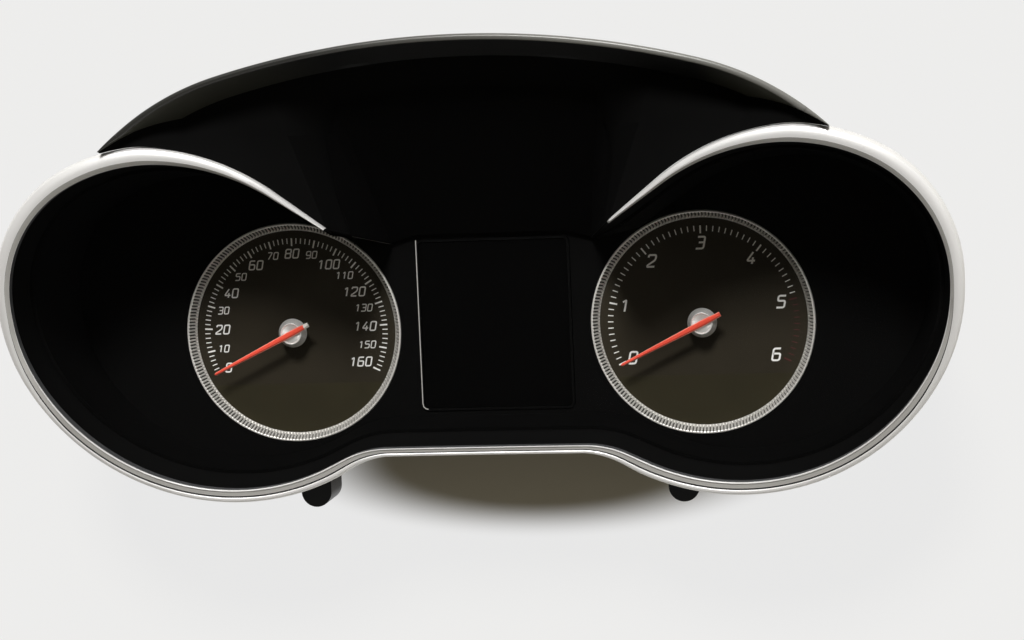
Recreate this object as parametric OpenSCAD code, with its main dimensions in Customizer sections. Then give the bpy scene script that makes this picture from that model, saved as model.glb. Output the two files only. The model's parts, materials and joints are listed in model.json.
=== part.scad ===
// Instrument cluster: a speedometer, a tachometer and a display between them, under a hood.
// It lies on its back: +X to the right, +Y towards the hood, +Z out of the dials.
// Inside this file Y counts from the dial centres, and place() moves the whole to its own origin.

/* [Front face] */
// Tilt of the front face, its hood side nearer the driver
face_tilt = 13; // [11:0.5:15]
// Radius of the front face, which curves forward at both ends
face_r = 1440; // [1300:20:2000]
// Depth of the dial faces behind the middle of the front face
dial_recess = 54.5; // [52:0.5:60]
// Distance of the tongues' front behind the middle of the front face
tongue_recess = 40; // [38:0.5:44]

/* [Trim outline] */
// How far the straight bottom edge cuts in behind the outside of the rings
bottom_cut = 1.9; // [0:0.1:2.8]
// Half length of the straight bottom edge
bottom_flat = 41.5; // [39:0.5:42]
// Radius of the shoulder beside the bottom edge
shoulder_r = 39.5; // [38:0.5:41]
// Turn of the shoulder
shoulder_turn = 26; // [25.5:0.1:26.5]
// Straight between the shoulder and the lobe
shoulder_flat = 8; // [7:0.5:10]
// Radius of a lobe's underside beyond the ring's
under_gap = 40.2; // [38:0.2:42]
// Radius of a lobe's side beyond the ring's
side_gap = 25.7; // [23.5:0.2:28]
// Radius of a lobe's upper corner beyond the ring's
crown_gap = 7.7; // [6:0.1:9]
// Radius of a lobe's top beyond the ring's
brow_gap = 26.2; // [24:0.2:28]
// Radius where the lobe's top turns down to the blade, beyond the ring's
blade_gap = 38.7; // [37:0.2:40]
// Straight end of the blade
blade_flat = 25.5; // [24:0.5:26.5]
// Ridge that runs on from the blade down to the display
ridge_len = 18; // [17:0.5:19]

/* [Trim section] */
// Width of the trim at a lobe's side
trim_w = 5.6; // [5:0.1:7]
// Width of the trim on top of a lobe
crown_w = 7.4; // [5:0.1:8]
// Height above the dial centres from which the trim widens to the crown
crown_low = 20; // [10:1:30]
// Height over which it widens
crown_run = 45; // [35:1:50]
// Width of the trim along the straight bottom edge
bottom_w = 3.6; // [3:0.1:5]
// Run beside the bottom edge over which the trim grows to its full width
swell_run = 24; // [16:1:32]
// Depth of the trim's skirt
trim_h = 6; // [5:0.5:7]
// Width of the trim at the blade's tip
tip_w = 1.2; // [0.9:0.1:1.6]
// Distance from the middle where the blade reaches its full width
taper_x = 130; // [120:1:140]

/* [Hood] */
// Distance of the hood's top above the dial centres
hood_top = 123.2; // [118:0.2:130]
// Half width of the hood's long arc
hood_flat_x = 96; // [92:0.5:100]
// How far the long arc falls from the middle to its ends
hood_fall = 12.9; // [11:0.1:15]
// Where the end pieces begin
hood_seam_x = 137; // [134:0.5:139]
// Where the end pieces run out
hood_end_x = 145.2; // [145:0.2:146.6]
// Wall of the hood
hood_t = 2.5; // [2:0.1:3]
// Distance of the crease from the hood's edge
crease_inset = 8.7; // [7:0.1:10]
// Depth of the crease behind the face
crease_drop = 15; // [12:0.5:17]

/* [Shells] */
// Wall of the mask, the housing and the rear cover
wall_t = 2; // [1.6:0.1:2.4]
// How far the mask's wall leans in from the trim to the floor
wall_inset = 8; // [7:0.1:8.2]
// Height of the rear cover
cover_h = 12; // [11:0.5:13]
// Floor of the rear cover
cover_t = 2.5; // [2.2:0.1:3]
// Underside of the main board above the table
board_z = 15.5; // [15.3:0.1:17]
// Printed faces of the dials above the table
dial_z = 32; // [31.5:0.1:35]
// Height of the mask's floor above the dial faces
floor_rise = 4.5; // [4:0.1:5.5]
// Thickness of the front lens
lens_t = 2; // [1.5:0.1:2.5]
// Depth of the front lens behind the face
lens_drop = 20; // [18:0.5:22]

/* [Gauges] */
// Distance of each dial centre from the middle
dial_x = 87.6; // [87:0.1:88.4]
// Radius of the tick circle
scale_r = 40.2; // [38:0.2:41]
// Angle that the pointer sweeps
sweep = 232; // [220:1:240]
// Thickness of a dial
dial_t = 1; // [0.8:0.1:1.2]
// Outer radius of the knurled ring
ring_out_r = 46.8; // [45:0.1:49]
// Width of the knurled ring
ring_w = 3.2; // [2.6:0.1:3.6]
// Length of the pointer's tail
tail_len = 8.8; // [7:0.2:10]
// Width of the pointer beside the hub
blade_w = 2.7; // [2:0.1:3.2]
// Radius of the hub cap's face
cap_r = 4.6; // [4:0.1:5.2]
// Height of the hub cap's face above the dial
cap_rise = 9.5; // [8.5:0.5:12]
// Radius of the pointer shaft
shaft_r = 0.75; // [0.6:0.05:0.9]

/* [Gear train] */
// Teeth of the output wheel
wheel_teeth = 60; // [60]
// Teeth of both pinions
pinion_teeth = 10; // [10]
// Teeth of the idler wheel
idler_teeth = 50; // [50]
// Tooth module of the output stage
out_module = 0.3; // [0.29:0.005:0.31]
// Tooth module of the rotor stage
in_module = 0.25; // [0.24:0.005:0.26]

/* [Display] */
// Width of the display frame
display_w = 65.4; // [60:0.2:66]
// Distance from the trim's bottom edge up to the display frame
display_gap = 10.1; // [9.2:0.1:12]
// How far the display frame's top stays below the tops of the rings
display_dip = 8.6; // [8.3:0.1:9.8]

/* [Mounting] */
// Distance of each tongue from the middle
tongue_x = 78.5; // [76:0.5:80]
// Width of a tongue
tongue_w = 13; // [11:0.5:15]
// Lowest point of the tongues below the dial centres
tongue_low = 73.8; // [71:0.2:78]
// Length of a tongue from front to back
tongue_depth = 20; // [18:0.5:22]
// Distance of each ear's hole from the middle
ear_x = 108; // [106:0.5:112]
// Distance of the ear holes above the dial centres
ear_y = 77; // [76:0.5:79]
// Radius of the ear holes
ear_hole_r = 2.75; // [2.5:0.05:3]
// Thickness of an ear
ear_t = 4; // [3.5:0.1:5]

/* [Hidden] */
$fn = 48;
// Gaps between pieces: curved seats, flat seats, running bores and press seats
seat_gap = 0.3;
flat_gap = 0.2;
run_gap = 0.05;
press_gap = 0.01;
// Turns of the outline's arcs, which bring the blade to its slope
under_turn = 88.5;
side_turn = 30.5;
crown_turn = 60.5;
brow_turn = 29.5;
blade_turn = 31.5;
path_step = 5;
// Heights above the table
face_z = dial_z + dial_recess;
floor_t = 2;
floor_z = dial_z + floor_rise;
board_t = 1.6;
deck_z = dial_z - 8;
deck_t = 2;
y_shift = -(hood_top - tongue_low) / 2;
dial_r = ring_out_r - 0.5;
ring_in_r = ring_out_r - ring_w;
ring_lip = 1.5;
bottom_y = ring_out_r - bottom_cut;
display_low = bottom_y - display_gap;
display_top = ring_out_r - display_dip;
zero_angle = 90 + sweep / 2;
pointer_len = 0.95 * scale_r;
GAUGE_SIDES = [-1, 1];

// Height of the curved, tilted front face
function surf(x, y) = face_z + (face_r - sqrt(face_r * face_r - x * x)) / cos(face_tilt)
    + y * tan(face_tilt);
function lerp(a, b, t) = a + (b - a) * t;
function share(t) = max(0, min(1, t));
function flip(p) = [-p[0], p[1], -p[2], p[3], p[4]];

// Trim outline from the middle of the bottom edge to the blade's tip.
// Each leg is [radius, turn]; a leg without a turn is straight and starts with its length.
TRIM_LEGS = [[bottom_flat, 0], [shoulder_r, -shoulder_turn], [shoulder_flat, 0],
    [ring_out_r + under_gap, under_turn], [ring_out_r + side_gap, side_turn],
    [ring_out_r + crown_gap, crown_turn], [ring_out_r + brow_gap, brow_turn],
    [ring_out_r + blade_gap, blade_turn], [blade_flat, 0]];
function walk(legs, i = 0, x = 0, y = -bottom_y, h = 0) =
    i == len(legs) ? [] :
    let (r = legs[i][0], t = legs[i][1], s = sign(t),
        n = max(2, round((t == 0 ? r / 2 : r * abs(t) * PI / 180) / path_step)),
        leg = [for (k = [1:n]) let (g = h + t * k / n) t == 0
            ? [x + r * k / n * cos(h), y + r * k / n * sin(h), h]
            : [x + s * r * (sin(g) - sin(h)), y - s * r * (cos(g) - cos(h)), g]],
        last = leg[n - 1])
    concat(leg, walk(legs, i + 1, last[0], last[1], last[2]));
MAIN = walk(TRIM_LEGS);
tip = MAIN[len(MAIN) - 1];
ridge_n = 5;
// A station is [x, y, outward normal x, outward normal y, share of the ridge covered]
HALF = concat([[0, -bottom_y, 0, -1, 0]],
    [for (p = MAIN) [p[0], p[1], sin(p[2]), -cos(p[2]), 0]],
    [for (k = [1:ridge_n]) let (d = ridge_len * k / ridge_n)
        [tip[0] + d * cos(tip[2]), tip[1] + d * sin(tip[2]), sin(tip[2]), -cos(tip[2]), k / ridge_n]]);
LOOP = concat([for (i = [len(HALF) - 1:-1:1]) flip(HALF[i])], HALF);
function out(p, d) = [p[0] + p[2] * d, p[1] + p[3] * d];
function point(p, d, z) = [p[0] + p[2] * d, p[1] + p[3] * d, z];

// Values that change along the ridge, from the blade's tip down to the mask's floor
tip_z = surf(tip[0], tip[1]);
ridge_top = 3;
function trim_z(p) = p[4] == 0 ? surf(p[0], p[1]) : lerp(tip_z, floor_z + ridge_top, p[4]);
function trim_width(p) = p[4] > 0 ? lerp(tip_w, 0.7, p[4])
    : p[1] > ring_in_r && abs(p[0]) < taper_x
        ? lerp(tip_w, crown_w, (abs(p[0]) - tip[0]) / (taper_x - tip[0]))
    : p[1] < 0 ? lerp(bottom_w, trim_w, share((abs(p[0]) - bottom_flat) / swell_run))
    : lerp(trim_w, crown_w, share((p[1] - crown_low) / crown_run));
function trim_depth(p) = lerp(1, 0.35, p[4]);
function wall_top(p) = trim_z(p) - trim_h * trim_depth(p) - seat_gap;
function inset(p) = lerp(wall_inset, 1, p[4]);
ledge_drop = lens_drop + lens_t + seat_gap;
ledge_w = 1.5;
function wall_at(p, z) = -inset(p) * (wall_top(p) - z) / (wall_top(p) - floor_z);
// Height of the ledge under the lens, a distance d outwards from the outline
ridge_ledge = 0.7;
function ledge_z(p, d) = p[4] == 0 ? surf(p[0] + p[2] * d, p[1] + p[3] * d) - ledge_drop
    : lerp(floor_z, wall_top(p), ridge_ledge);
// Where the leaning wall meets the ledge, found in two steps because both slope
function ledge_at(p) = wall_at(p, ledge_z(p, wall_at(p, ledge_z(p, -inset(p) / 2))));

// A solid through closed rings of equally many points, its two ends closed.
// The faces of an end that isn't flat are listed.
module skin(rings, ends = undef) {
    m = len(rings[0]);
    n = len(rings);
    cap = is_undef(ends) ? [[for (j = [0:m - 1]) j]] : ends;
    polyhedron([for (r = rings) each r], concat(
        cap,
        [for (f = cap) [for (j = [len(f) - 1:-1:0]) (n - 1) * m + f[j]]],
        [for (i = [0:n - 2]) for (j = [0:m - 1])
            let (a = i * m + j, b = i * m + (j + 1) % m) each [[a, a + m, b], [b, a + m, b + m]]]));
}
module place() {
    translate([0, y_shift, 0]) children();
}
module box(x0, x1, y0, y1, z0, z1) {
    translate([x0, y0, z0]) cube([x1 - x0, y1 - y0, z1 - z0]);
}
module rod(x, y, z0, z1, r) {
    translate([x, y, z0]) cylinder(r = r, h = z1 - z0);
}
module rounded(w, l, r) {
    square([w - 2 * r, l], center = true);
    square([w, l - 2 * r], center = true);
    for (x = [-1, 1]) for (y = [-1, 1]) translate([x * (w / 2 - r), y * (l / 2 - r)]) circle(r);
}
module at_gauge(side) {
    translate([side * dial_x, 0, 0]) children();
}

// Trim: a bright inner ridge, a flat band, a groove and an outer flange above a skirt
TRIM_SECTION = [[0, -trim_h], [0, -0.9], [0.04, -0.25], [0.16, -0.2], [0.22, -0.8],
    [0.5, -1.1], [0.53, -1.9], [0.6, -1.9], [0.64, -0.9], [0.88, -1.6], [0.97, -2.6], [1, -trim_h]];
module trim_ring() {
    place() color("silver") skin([for (p = LOOP) [for (s = TRIM_SECTION)
        point(p, s[0] * trim_width(p), trim_z(p) + s[1] * trim_depth(p))]]);
}

// Hood: its outer edge is a long arc, with an arc at each end that runs down to the trim
foot_gap = 0.4;
TRIM_BACK = [for (p = HALF) if (p[4] == 0 && p[1] > ring_in_r) out(p, trim_width(p) + foot_gap)];
function behind_trim(x) = lookup(x, TRIM_BACK);
hood_r = (hood_flat_x * hood_flat_x + hood_fall * hood_fall) / (2 * hood_fall);
end_s = hood_flat_x / hood_r;
end_c = sqrt(1 - end_s * end_s);
end_run = [hood_end_x - hood_flat_x, behind_trim(hood_end_x) + foot_gap - hood_top + hood_fall];
hood_end_r = (end_run * end_run) / (-2 * (end_run * [end_s, end_c]));
function rim(x) = x <= hood_flat_x
    ? let (y = sqrt(hood_r * hood_r - x * x)) [x, hood_top - hood_r + y, x / hood_r, y / hood_r]
    : let (dx = x - hood_flat_x + hood_end_r * end_s, dy = sqrt(hood_end_r * hood_end_r - dx * dx))
        [x, hood_top - hood_r + (hood_r - hood_end_r) * end_c + dy, dx / hood_end_r, dy / hood_end_r];
foot_drop = 3.5;
throat_x = 34.5;
throat_y = display_top + 2.3;
// Places on the hood's edge opposite the display's corner and the blade's tip
fan_corner_x = 56;
fan_tip_x = 80;
function roof(foot, gx) =
    let (g = rim(gx), far = norm([foot[0] - g[0], foot[1] - g[1]]),
        k = min(1, far / (2.6 * crease_inset)), e = hood_t * min(1, far / (3 * hood_t)),
        c = out(g, -crease_inset * k), c_z = surf(c[0], c[1]) - crease_drop * k,
        i = out(g, -e), m = out(g, -e / 2), o = out(g, -0.2 * e / hood_t),
        b = out(g, (hood_t * 0.8 - crease_inset) * k))
    [foot, [foot[0], foot[1], foot[2] - hood_t], [b[0], b[1], c_z - hood_t],
        [g[0], g[1], surf(g[0], g[1]) - 1.5], [o[0], o[1], surf(o[0], o[1])],
        [m[0], m[1], surf(m[0], m[1]) + 0.4], [i[0], i[1], surf(i[0], i[1])], [c[0], c[1], c_z]];
// Its end, from the foot up to the edge, in pairs of an inner and an outer corner
ROOF_END = [[0, 1, 2], [0, 2, 7], [7, 2, 3], [7, 3, 6], [6, 3, 4], [6, 4, 5]];
tip_foot = out(HALF[len(HALF) - 1 - ridge_n], tip_w + foot_gap);
corner_foot = out(HALF[len(HALF) - 1], 0.7 + foot_gap);
ROOF = concat(
    [for (t = [0:0.25:1]) roof([t * throat_x, throat_y, floor_z + hood_t], t * (fan_corner_x - 6))],
    [for (i = [0:ridge_n]) let (p = HALF[len(HALF) - 1 - i], f = out(p, trim_width(p) + foot_gap))
        roof([f[0], f[1], lerp(tip_z - foot_drop, floor_z + hood_t, p[4])],
            lerp(fan_tip_x, fan_corner_x, p[4]))],
    [for (k = [1:14]) let (x = lerp(tip_foot[0], hood_seam_x, k / 14), y = behind_trim(x))
        roof([x, y, surf(x, y) - foot_drop], lerp(fan_tip_x, hood_seam_x, k / 14))]);
function mirror_ring(r) = [for (q = r) [-q[0], q[1], q[2]]];
hood_screw_x = 22;
hood_screw_y = throat_y + 5.5;
hood_boss_top = floor_z + 5.5;
module hood() {
    place() color([0.06, 0.06, 0.06]) difference() {
        union() {
            skin(concat([for (i = [len(ROOF) - 1:-1:1]) mirror_ring(ROOF[i])], ROOF), ROOF_END);
            for (x = [-1, 1] * hood_screw_x) rod(x, hood_screw_y, floor_z, hood_boss_top, 3);
        }
        for (x = [-1, 1] * hood_screw_x)
            rod(x, hood_screw_y, floor_z - 1, hood_boss_top - 1, 1.2 + run_gap);
    }
}
// End piece: the last of the crescent between the hood's edge and the trim
end_gap = 0.3;
end_step = 6;
module hood_end(side) {
    place() color([0.05, 0.05, 0.05]) mirror([side < 0 ? 1 : 0, 0, 0])
        skin([for (k = [0:end_step]) let (x = lerp(hood_seam_x + end_gap, hood_end_x, k / end_step),
            y = behind_trim(x)) roof([x, y, surf(x, y) - foot_drop], x)], ROOF_END);
}
module hood_end_left() {
    hood_end(-1);
}
module hood_end_right() {
    hood_end(1);
}

// Lens: a sheet parallel to the face, on the mask's ledge and up to the hood's underside
lens_side_gap = 0.4;
roof_back = 4.5;
function on_roof(r, drop) =
    let (f = r[0], c = r[7], df = surf(f[0], f[1]) - f[2], dc = surf(c[0], c[1]) - c[2],
        v = (df - drop) / (df - dc), far = norm([c[0] - f[0], c[1] - f[1]]),
        w = v - roof_back / far)
    [f[0] + (c[0] - f[0]) * w, f[1] + (c[1] - f[1]) * w];
function foot_depth(r) = surf(r[0][0], r[0][1]) - r[0][2];
LENS_HALF = concat(
    [for (p = HALF) if (p[4] <= 0.6) out(p, min(ledge_at(p), -1.5) - lens_side_gap)],
    [for (i = [4 + ridge_n:-1:0]) let (r = ROOF[i])
        if (foot_depth(r) > ledge_drop + 0.5) on_roof(r, ledge_drop)]);
LENS = concat([for (i = [len(LENS_HALF) - 2:-1:1]) [-LENS_HALF[i][0], LENS_HALF[i][1]]], LENS_HALF);
module above_face(drop) {
    translate([0, 0, face_z - drop]) rotate([face_tilt, 0, 0]) translate([0, 0, face_r])
        rotate([90, 0, 0]) cylinder(r = face_r, h = 6 * hood_top, center = true, $fn = 720);
}
module front_lens() {
    place() color([0.8, 0.9, 1, 0.3]) intersection() {
        translate([0, 0, floor_z]) linear_extrude(dial_recess + hood_top / 2) polygon(LENS);
        difference() {
            above_face(lens_drop + lens_t);
            above_face(lens_drop);
        }
    }
}

// Closed outline of the rear box, measured inwards from the outside of its wall
throat_half = 36;
throat_top = hood_screw_y + 5;
function rear_outline(e) = concat([for (p = LOOP) out(p, wall_t - inset(p) - e)],
    [[throat_half - e, throat_top - e], [e - throat_half, throat_top - e]]);
module rear_shell(z0, z1, e0, e1) {
    translate([0, 0, z0]) linear_extrude(z1 - z0) difference() {
        polygon(rear_outline(e0));
        polygon(rear_outline(e1));
    }
}
module rear_plate(z0, z1, e) {
    translate([0, 0, z0]) linear_extrude(z1 - z0) polygon(rear_outline(e));
}
// A screw lies at an angle round its dial and at a gap beyond the ring
function around(a, gap) = [dial_x + (ring_out_r + gap) * cos(a), (ring_out_r + gap) * sin(a)];
FRAME_SCREWS = [around(2, 31.6), around(65, 11.5), around(-35, 18.7), around(-70, 5.2)];
COVER_SCREWS = [around(15, 36.5), around(55, 19.5), around(-25, 25.2), around(-58, 9)];
BOARD_SCREWS = [around(29, 8.6), around(-27, 7.7), around(150, 5.2), around(-150, 5.2)];
module each_place(places) {
    for (p = places) for (s = [-1, 1]) translate([s * p[0], p[1], 0]) children();
}
pilot_r = 1.2;
boss_r = 3;
module front_mask() {
    place() color([0.03, 0.03, 0.03]) difference() {
        union() {
            skin([for (p = LOOP) let (d = ledge_at(p), e = d - lerp(ledge_w, 0.1, p[4])) [
                point(p, -inset(p), floor_z - 1), point(p, e, ledge_z(p, e)), point(p, d, ledge_z(p, d)),
                point(p, 0, wall_top(p)), point(p, min(wall_t, trim_width(p)), wall_top(p)),
                point(p, wall_t - inset(p), floor_z - 1)]]);
            rear_plate(floor_z - floor_t, floor_z, 0);
            each_place(FRAME_SCREWS) rod(0, 0, deck_z + deck_t, floor_z - floor_t / 2, boss_r);
        }
        for (s = GAUGE_SIDES) rod(s * dial_x, 0, deck_z, floor_z + 1, ring_out_r + seat_gap);
        translate([0, (display_top - display_low) / 2, deck_z]) linear_extrude(floor_z - deck_z + 1)
            rounded(display_w + 2 * seat_gap, display_top + display_low + 2 * seat_gap, 3);
        each_place(FRAME_SCREWS) rod(0, 0, deck_z, floor_z - floor_t, pilot_r + run_gap);
        for (x = [-1, 1] * hood_screw_x) rod(x, hood_screw_y, deck_z, floor_z + 1, 1.5);
    }
}

// Housing: wall, deck with its bosses, mounting ears and tongues
cup_r = dial_r - 3.3;
deck_hole_r = cup_r + 1.5;
tongue_front = face_z - tongue_recess;
tongue_back = tongue_front - tongue_depth;
tongue_root_y = -bottom_y - 5;
ear_r = 7;
module tongue_outline(top_y) {
    translate([0, -tongue_low + tongue_w / 2]) circle(tongue_w / 2);
    translate([-tongue_w / 2, -tongue_low + tongue_w / 2])
        square([tongue_w, top_y + tongue_low - tongue_w / 2]);
}
module housing() {
    place() color([0.08, 0.08, 0.08]) difference() {
        union() {
            rear_shell(cover_h + flat_gap, floor_z - floor_t, 0, wall_t);
            rear_plate(deck_z, deck_z + deck_t, wall_t / 2);
            each_place(COVER_SCREWS) rod(0, 0, cover_boss_top + flat_gap, deck_z + deck_t / 2, boss_r);
            each_place(BOARD_SCREWS) rod(0, 0, board_z + board_t, deck_z + deck_t / 2, boss_r);
            each_place([[tongue_x, 0]]) {
                translate([0, 0, tongue_back]) linear_extrude(floor_z - floor_t - tongue_back)
                    tongue_outline(tongue_root_y - 1);
                translate([0, 0, tongue_back]) linear_extrude(tongue_depth)
                    tongue_outline(-bottom_y - 13.5);
            }
            each_place([[ear_x, 0]]) {
                rod(0, ear_y, deck_z, deck_z + ear_t, ear_r);
                box(-ear_r, ear_r, ear_y - 12, ear_y, deck_z, deck_z + ear_t);
            }
        }
        for (s = GAUGE_SIDES) {
            rod(s * dial_x, 0, deck_z - 1, deck_z + deck_t + 1, deck_hole_r);
            rod(s * dial_x, 0, dial_z - seat_gap, floor_z, ring_out_r + ring_lip + seat_gap);
        }
        box(-display_w / 2 - 1, display_w / 2 + 1, -display_low - 0.5, display_top + 1,
            deck_z - 1, deck_z + deck_t + 1);
        each_place(COVER_SCREWS) rod(0, 0, cover_boss_top, deck_z, pilot_r + run_gap);
        each_place(BOARD_SCREWS) rod(0, 0, board_z, deck_z, pilot_r + run_gap);
        each_place(FRAME_SCREWS) rod(0, 0, deck_z - 1, deck_z + deck_t + 1, 1.5);
        for (x = [-1, 1] * hood_screw_x) rod(x, hood_screw_y, deck_z - 1, deck_z + deck_t + 1, 3.5);
        each_place([[ear_x, ear_y]]) rod(0, 0, deck_z - 1, deck_z + ear_t + 1, ear_hole_r);
    }
}

// Rear cover: a tray with sunk screw bosses, a window for the socket, vents and a bare label recess
cover_boss_top = cover_t + 2.7;
label_w = 60;
label_l = 26;
label_depth = 0.4;
socket_x = 0;
socket_y = 4;
socket_w = 42;
socket_l = 14;
module rear_cover() {
    place() color([0.1, 0.1, 0.1]) difference() {
        union() {
            rear_plate(0, cover_t, 0);
            rear_shell(0, cover_h, 0, wall_t);
            each_place(COVER_SCREWS) rod(0, 0, 0, cover_boss_top, 4.5);
        }
        each_place(COVER_SCREWS) {
            rod(0, 0, -1, cover_boss_top - 2, 3.2);
            rod(0, 0, -1, cover_boss_top + 1, 1.5);
        }
        translate([socket_x, socket_y, -1]) linear_extrude(cover_t + 2)
            rounded(socket_w + 2, socket_l + 2, 2);
        for (k = [0:6]) box(-32 + k * 4, -30 + k * 4, -26, -12, -1, cover_t + 1);
        translate([dial_x, 0, -1]) linear_extrude(1 + label_depth) rounded(label_w, label_l, 2);
    }
}

// Gauge pieces
module ring(side) {
    place() color("lightgray") at_gauge(side) rotate_extrude() polygon([
        [ring_in_r, dial_z], [ring_in_r, dial_z + 0.6], [ring_out_r - 0.7, floor_z + 0.4],
        [ring_out_r, floor_z + 0.4], [ring_out_r, floor_z - floor_t - flat_gap],
        [ring_out_r + ring_lip, floor_z - floor_t - flat_gap], [ring_out_r + ring_lip, dial_z]]);
}
module dial(side) {
    place() color([0.05, 0.05, 0.05]) at_gauge(side) difference() {
        rod(0, 0, dial_z - dial_t, dial_z, dial_r);
        rod(0, 0, dial_z - dial_t - 1, dial_z + 1, 2.2);
    }
}
cup_in_r = cup_r - 1.5;
guide_top = dial_z - dial_t - 0.6;
guide_t = 2.8;
module light_guide(side) {
    place() color([0.85, 0.95, 1, 0.5]) at_gauge(side) difference() {
        rod(0, 0, guide_top - guide_t, guide_top, cup_in_r - seat_gap);
        rod(0, 0, guide_top - guide_t - 1, guide_top + 1, 3.5);
    }
}
// Light box: a white cup whose foot lies on the deck, with a seat for the guide and one for the dial
module light_box(side) {
    place() color("white") at_gauge(side) rotate_extrude() polygon([
        [cup_in_r, board_z + board_t + flat_gap], [cup_r, board_z + board_t + flat_gap],
        [cup_r, deck_z + deck_t], [cup_r + 4.5, deck_z + deck_t],
        [cup_r + 4.5, deck_z + deck_t + 1.5], [cup_r, deck_z + deck_t + 1.5],
        [cup_r, dial_z - dial_t - 1.5], [dial_r, dial_z - dial_t - 1.5], [dial_r, dial_z - dial_t],
        [cup_in_r, dial_z - dial_t], [cup_in_r, guide_top - guide_t],
        [cup_in_r - 2.5, guide_top - guide_t], [cup_in_r - 2.5, guide_top - guide_t - 1.2],
        [cup_in_r, guide_top - guide_t - 1.2]]);
}
// Pointer: a tapered blade over a silver cap, on a hub pressed on the shaft
module pointer(side) {
    place() color([0.95, 0.25, 0.15]) at_gauge(side) rotate(zero_angle)
        translate([0, 0, dial_z + cap_rise]) linear_extrude(1.2) polygon([
            [-tail_len, -blade_w * 0.4], [0, -blade_w / 2], [pointer_len - 1, -blade_w * 0.24],
            [pointer_len, 0], [pointer_len - 1, blade_w * 0.24], [0, blade_w / 2],
            [-tail_len, blade_w * 0.4]]);
}
hub_top = dial_z + cap_rise - 4;
module pointer_cap(side) {
    place() color("silver") at_gauge(side) rotate_extrude() polygon([
        [0, hub_top], [cap_r + 1.6, hub_top], [cap_r + 0.2, dial_z + cap_rise - 0.3],
        [cap_r, dial_z + cap_rise], [0, dial_z + cap_rise]]);
}
module pointer_hub(side) {
    place() color([0.05, 0.05, 0.05]) at_gauge(side) difference() {
        rod(0, 0, dial_z + 1.2, hub_top, cap_r - 0.6);
        rod(0, 0, dial_z, shaft_top, shaft_r + press_gap);
    }
}
shaft_top = hub_top - 0.6;

// Stepper motor behind each dial; heights count from the underside of the board
motor_top = board_z - flat_gap;
motor_base = motor_top - 10.8;
lid_base = motor_top - 1.5;
motor_w = 32;
motor_up = 12;
motor_down = 28;
idler_y = -(wheel_teeth + pinion_teeth) * out_module / 2;
rotor_y = idler_y - (idler_teeth + pinion_teeth) * in_module / 2;
pivot_z = motor_base + 1.2;
out_wheel_z = motor_base + 6.7;
idler_wheel_z = motor_base + 4.1;
axle_r = 0.5;
coil_x = 10.5;
coil_z = motor_base + 6.3;
magnet_r = 2.5;
module motor_outline(e) {
    translate([0, (motor_up - motor_down) / 2])
        rounded(motor_w - 2 * e, motor_up + motor_down - 2 * e, 4 - e);
}
module pivots(z0, z1, extra) {
    rod(0, 0, z0, z1, shaft_r + extra);
    rod(0, idler_y, z0, z1, axle_r + extra);
    rod(0, rotor_y, z0, z1, axle_r + extra);
}
module motor_case(side) {
    place() color([0.9, 0.9, 0.85]) at_gauge(side) difference() {
        translate([0, 0, motor_base]) linear_extrude(lid_base - motor_base) motor_outline(0);
        difference() {
            translate([0, 0, motor_base + 1]) linear_extrude(lid_base) motor_outline(1.2);
            pivots(motor_base, motor_base + 2.8, 1);
        }
        pivots(pivot_z, lid_base, run_gap);
    }
}
PEGS = [[12, 8], [12, -24]];
module motor_lid(side) {
    place() color([0.9, 0.9, 0.85]) at_gauge(side) difference() {
        union() {
            translate([0, 0, lid_base]) linear_extrude(motor_top - lid_base) motor_outline(0);
            each_place(PEGS) rod(0, 0, lid_base, board_z + board_t / 2, 1);
        }
        rod(0, 0, lid_base - 1, motor_top + 1, shaft_r + run_gap);
        rod(0, idler_y, lid_base - 1, lid_base + 1, axle_r + run_gap);
        rod(0, rotor_y, lid_base - 1, lid_base + 1, axle_r + run_gap);
    }
}
coil_low = rotor_y - 6;
coil_high = rotor_y + 3.5;
module motor_coils(side) {
    place() color("peru") at_gauge(side) each_place([[coil_x, 0]]) difference() {
        translate([0, coil_low, coil_z]) rotate([-90, 0, 0]) cylinder(r = 2.8, h = coil_high - coil_low);
        box(-1.1, 1.1, coil_low - 1, coil_high + 1, coil_z - 0.6, coil_z + 0.6);
    }
}
// Stator: a flat iron circuit with a leg in each coil and an eye round the rotor
module motor_stator(side) {
    place() color([0.5, 0.5, 0.55]) at_gauge(side) difference() {
        union() {
            rod(0, rotor_y, coil_z - 0.5, coil_z + 0.5, magnet_r + 2);
            for (x = [-1, 1] * coil_x)
                box(x - 1, x + 1, coil_low - 1.5, coil_high + 1.5, coil_z - 0.5, coil_z + 0.5);
            box(-coil_x, coil_x, coil_high + 0.3, coil_high + 1.5, coil_z - 0.5, coil_z + 0.5);
            box(-coil_x, coil_x, coil_low - 1.5, coil_low - 0.3, coil_z - 0.5, coil_z + 0.5);
            box(-1.5, 1.5, coil_low - 1, rotor_y, coil_z - 0.5, coil_z + 0.5);
        }
        rod(0, rotor_y, coil_z - 1, coil_z + 1, magnet_r + 0.4);
    }
}
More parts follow.
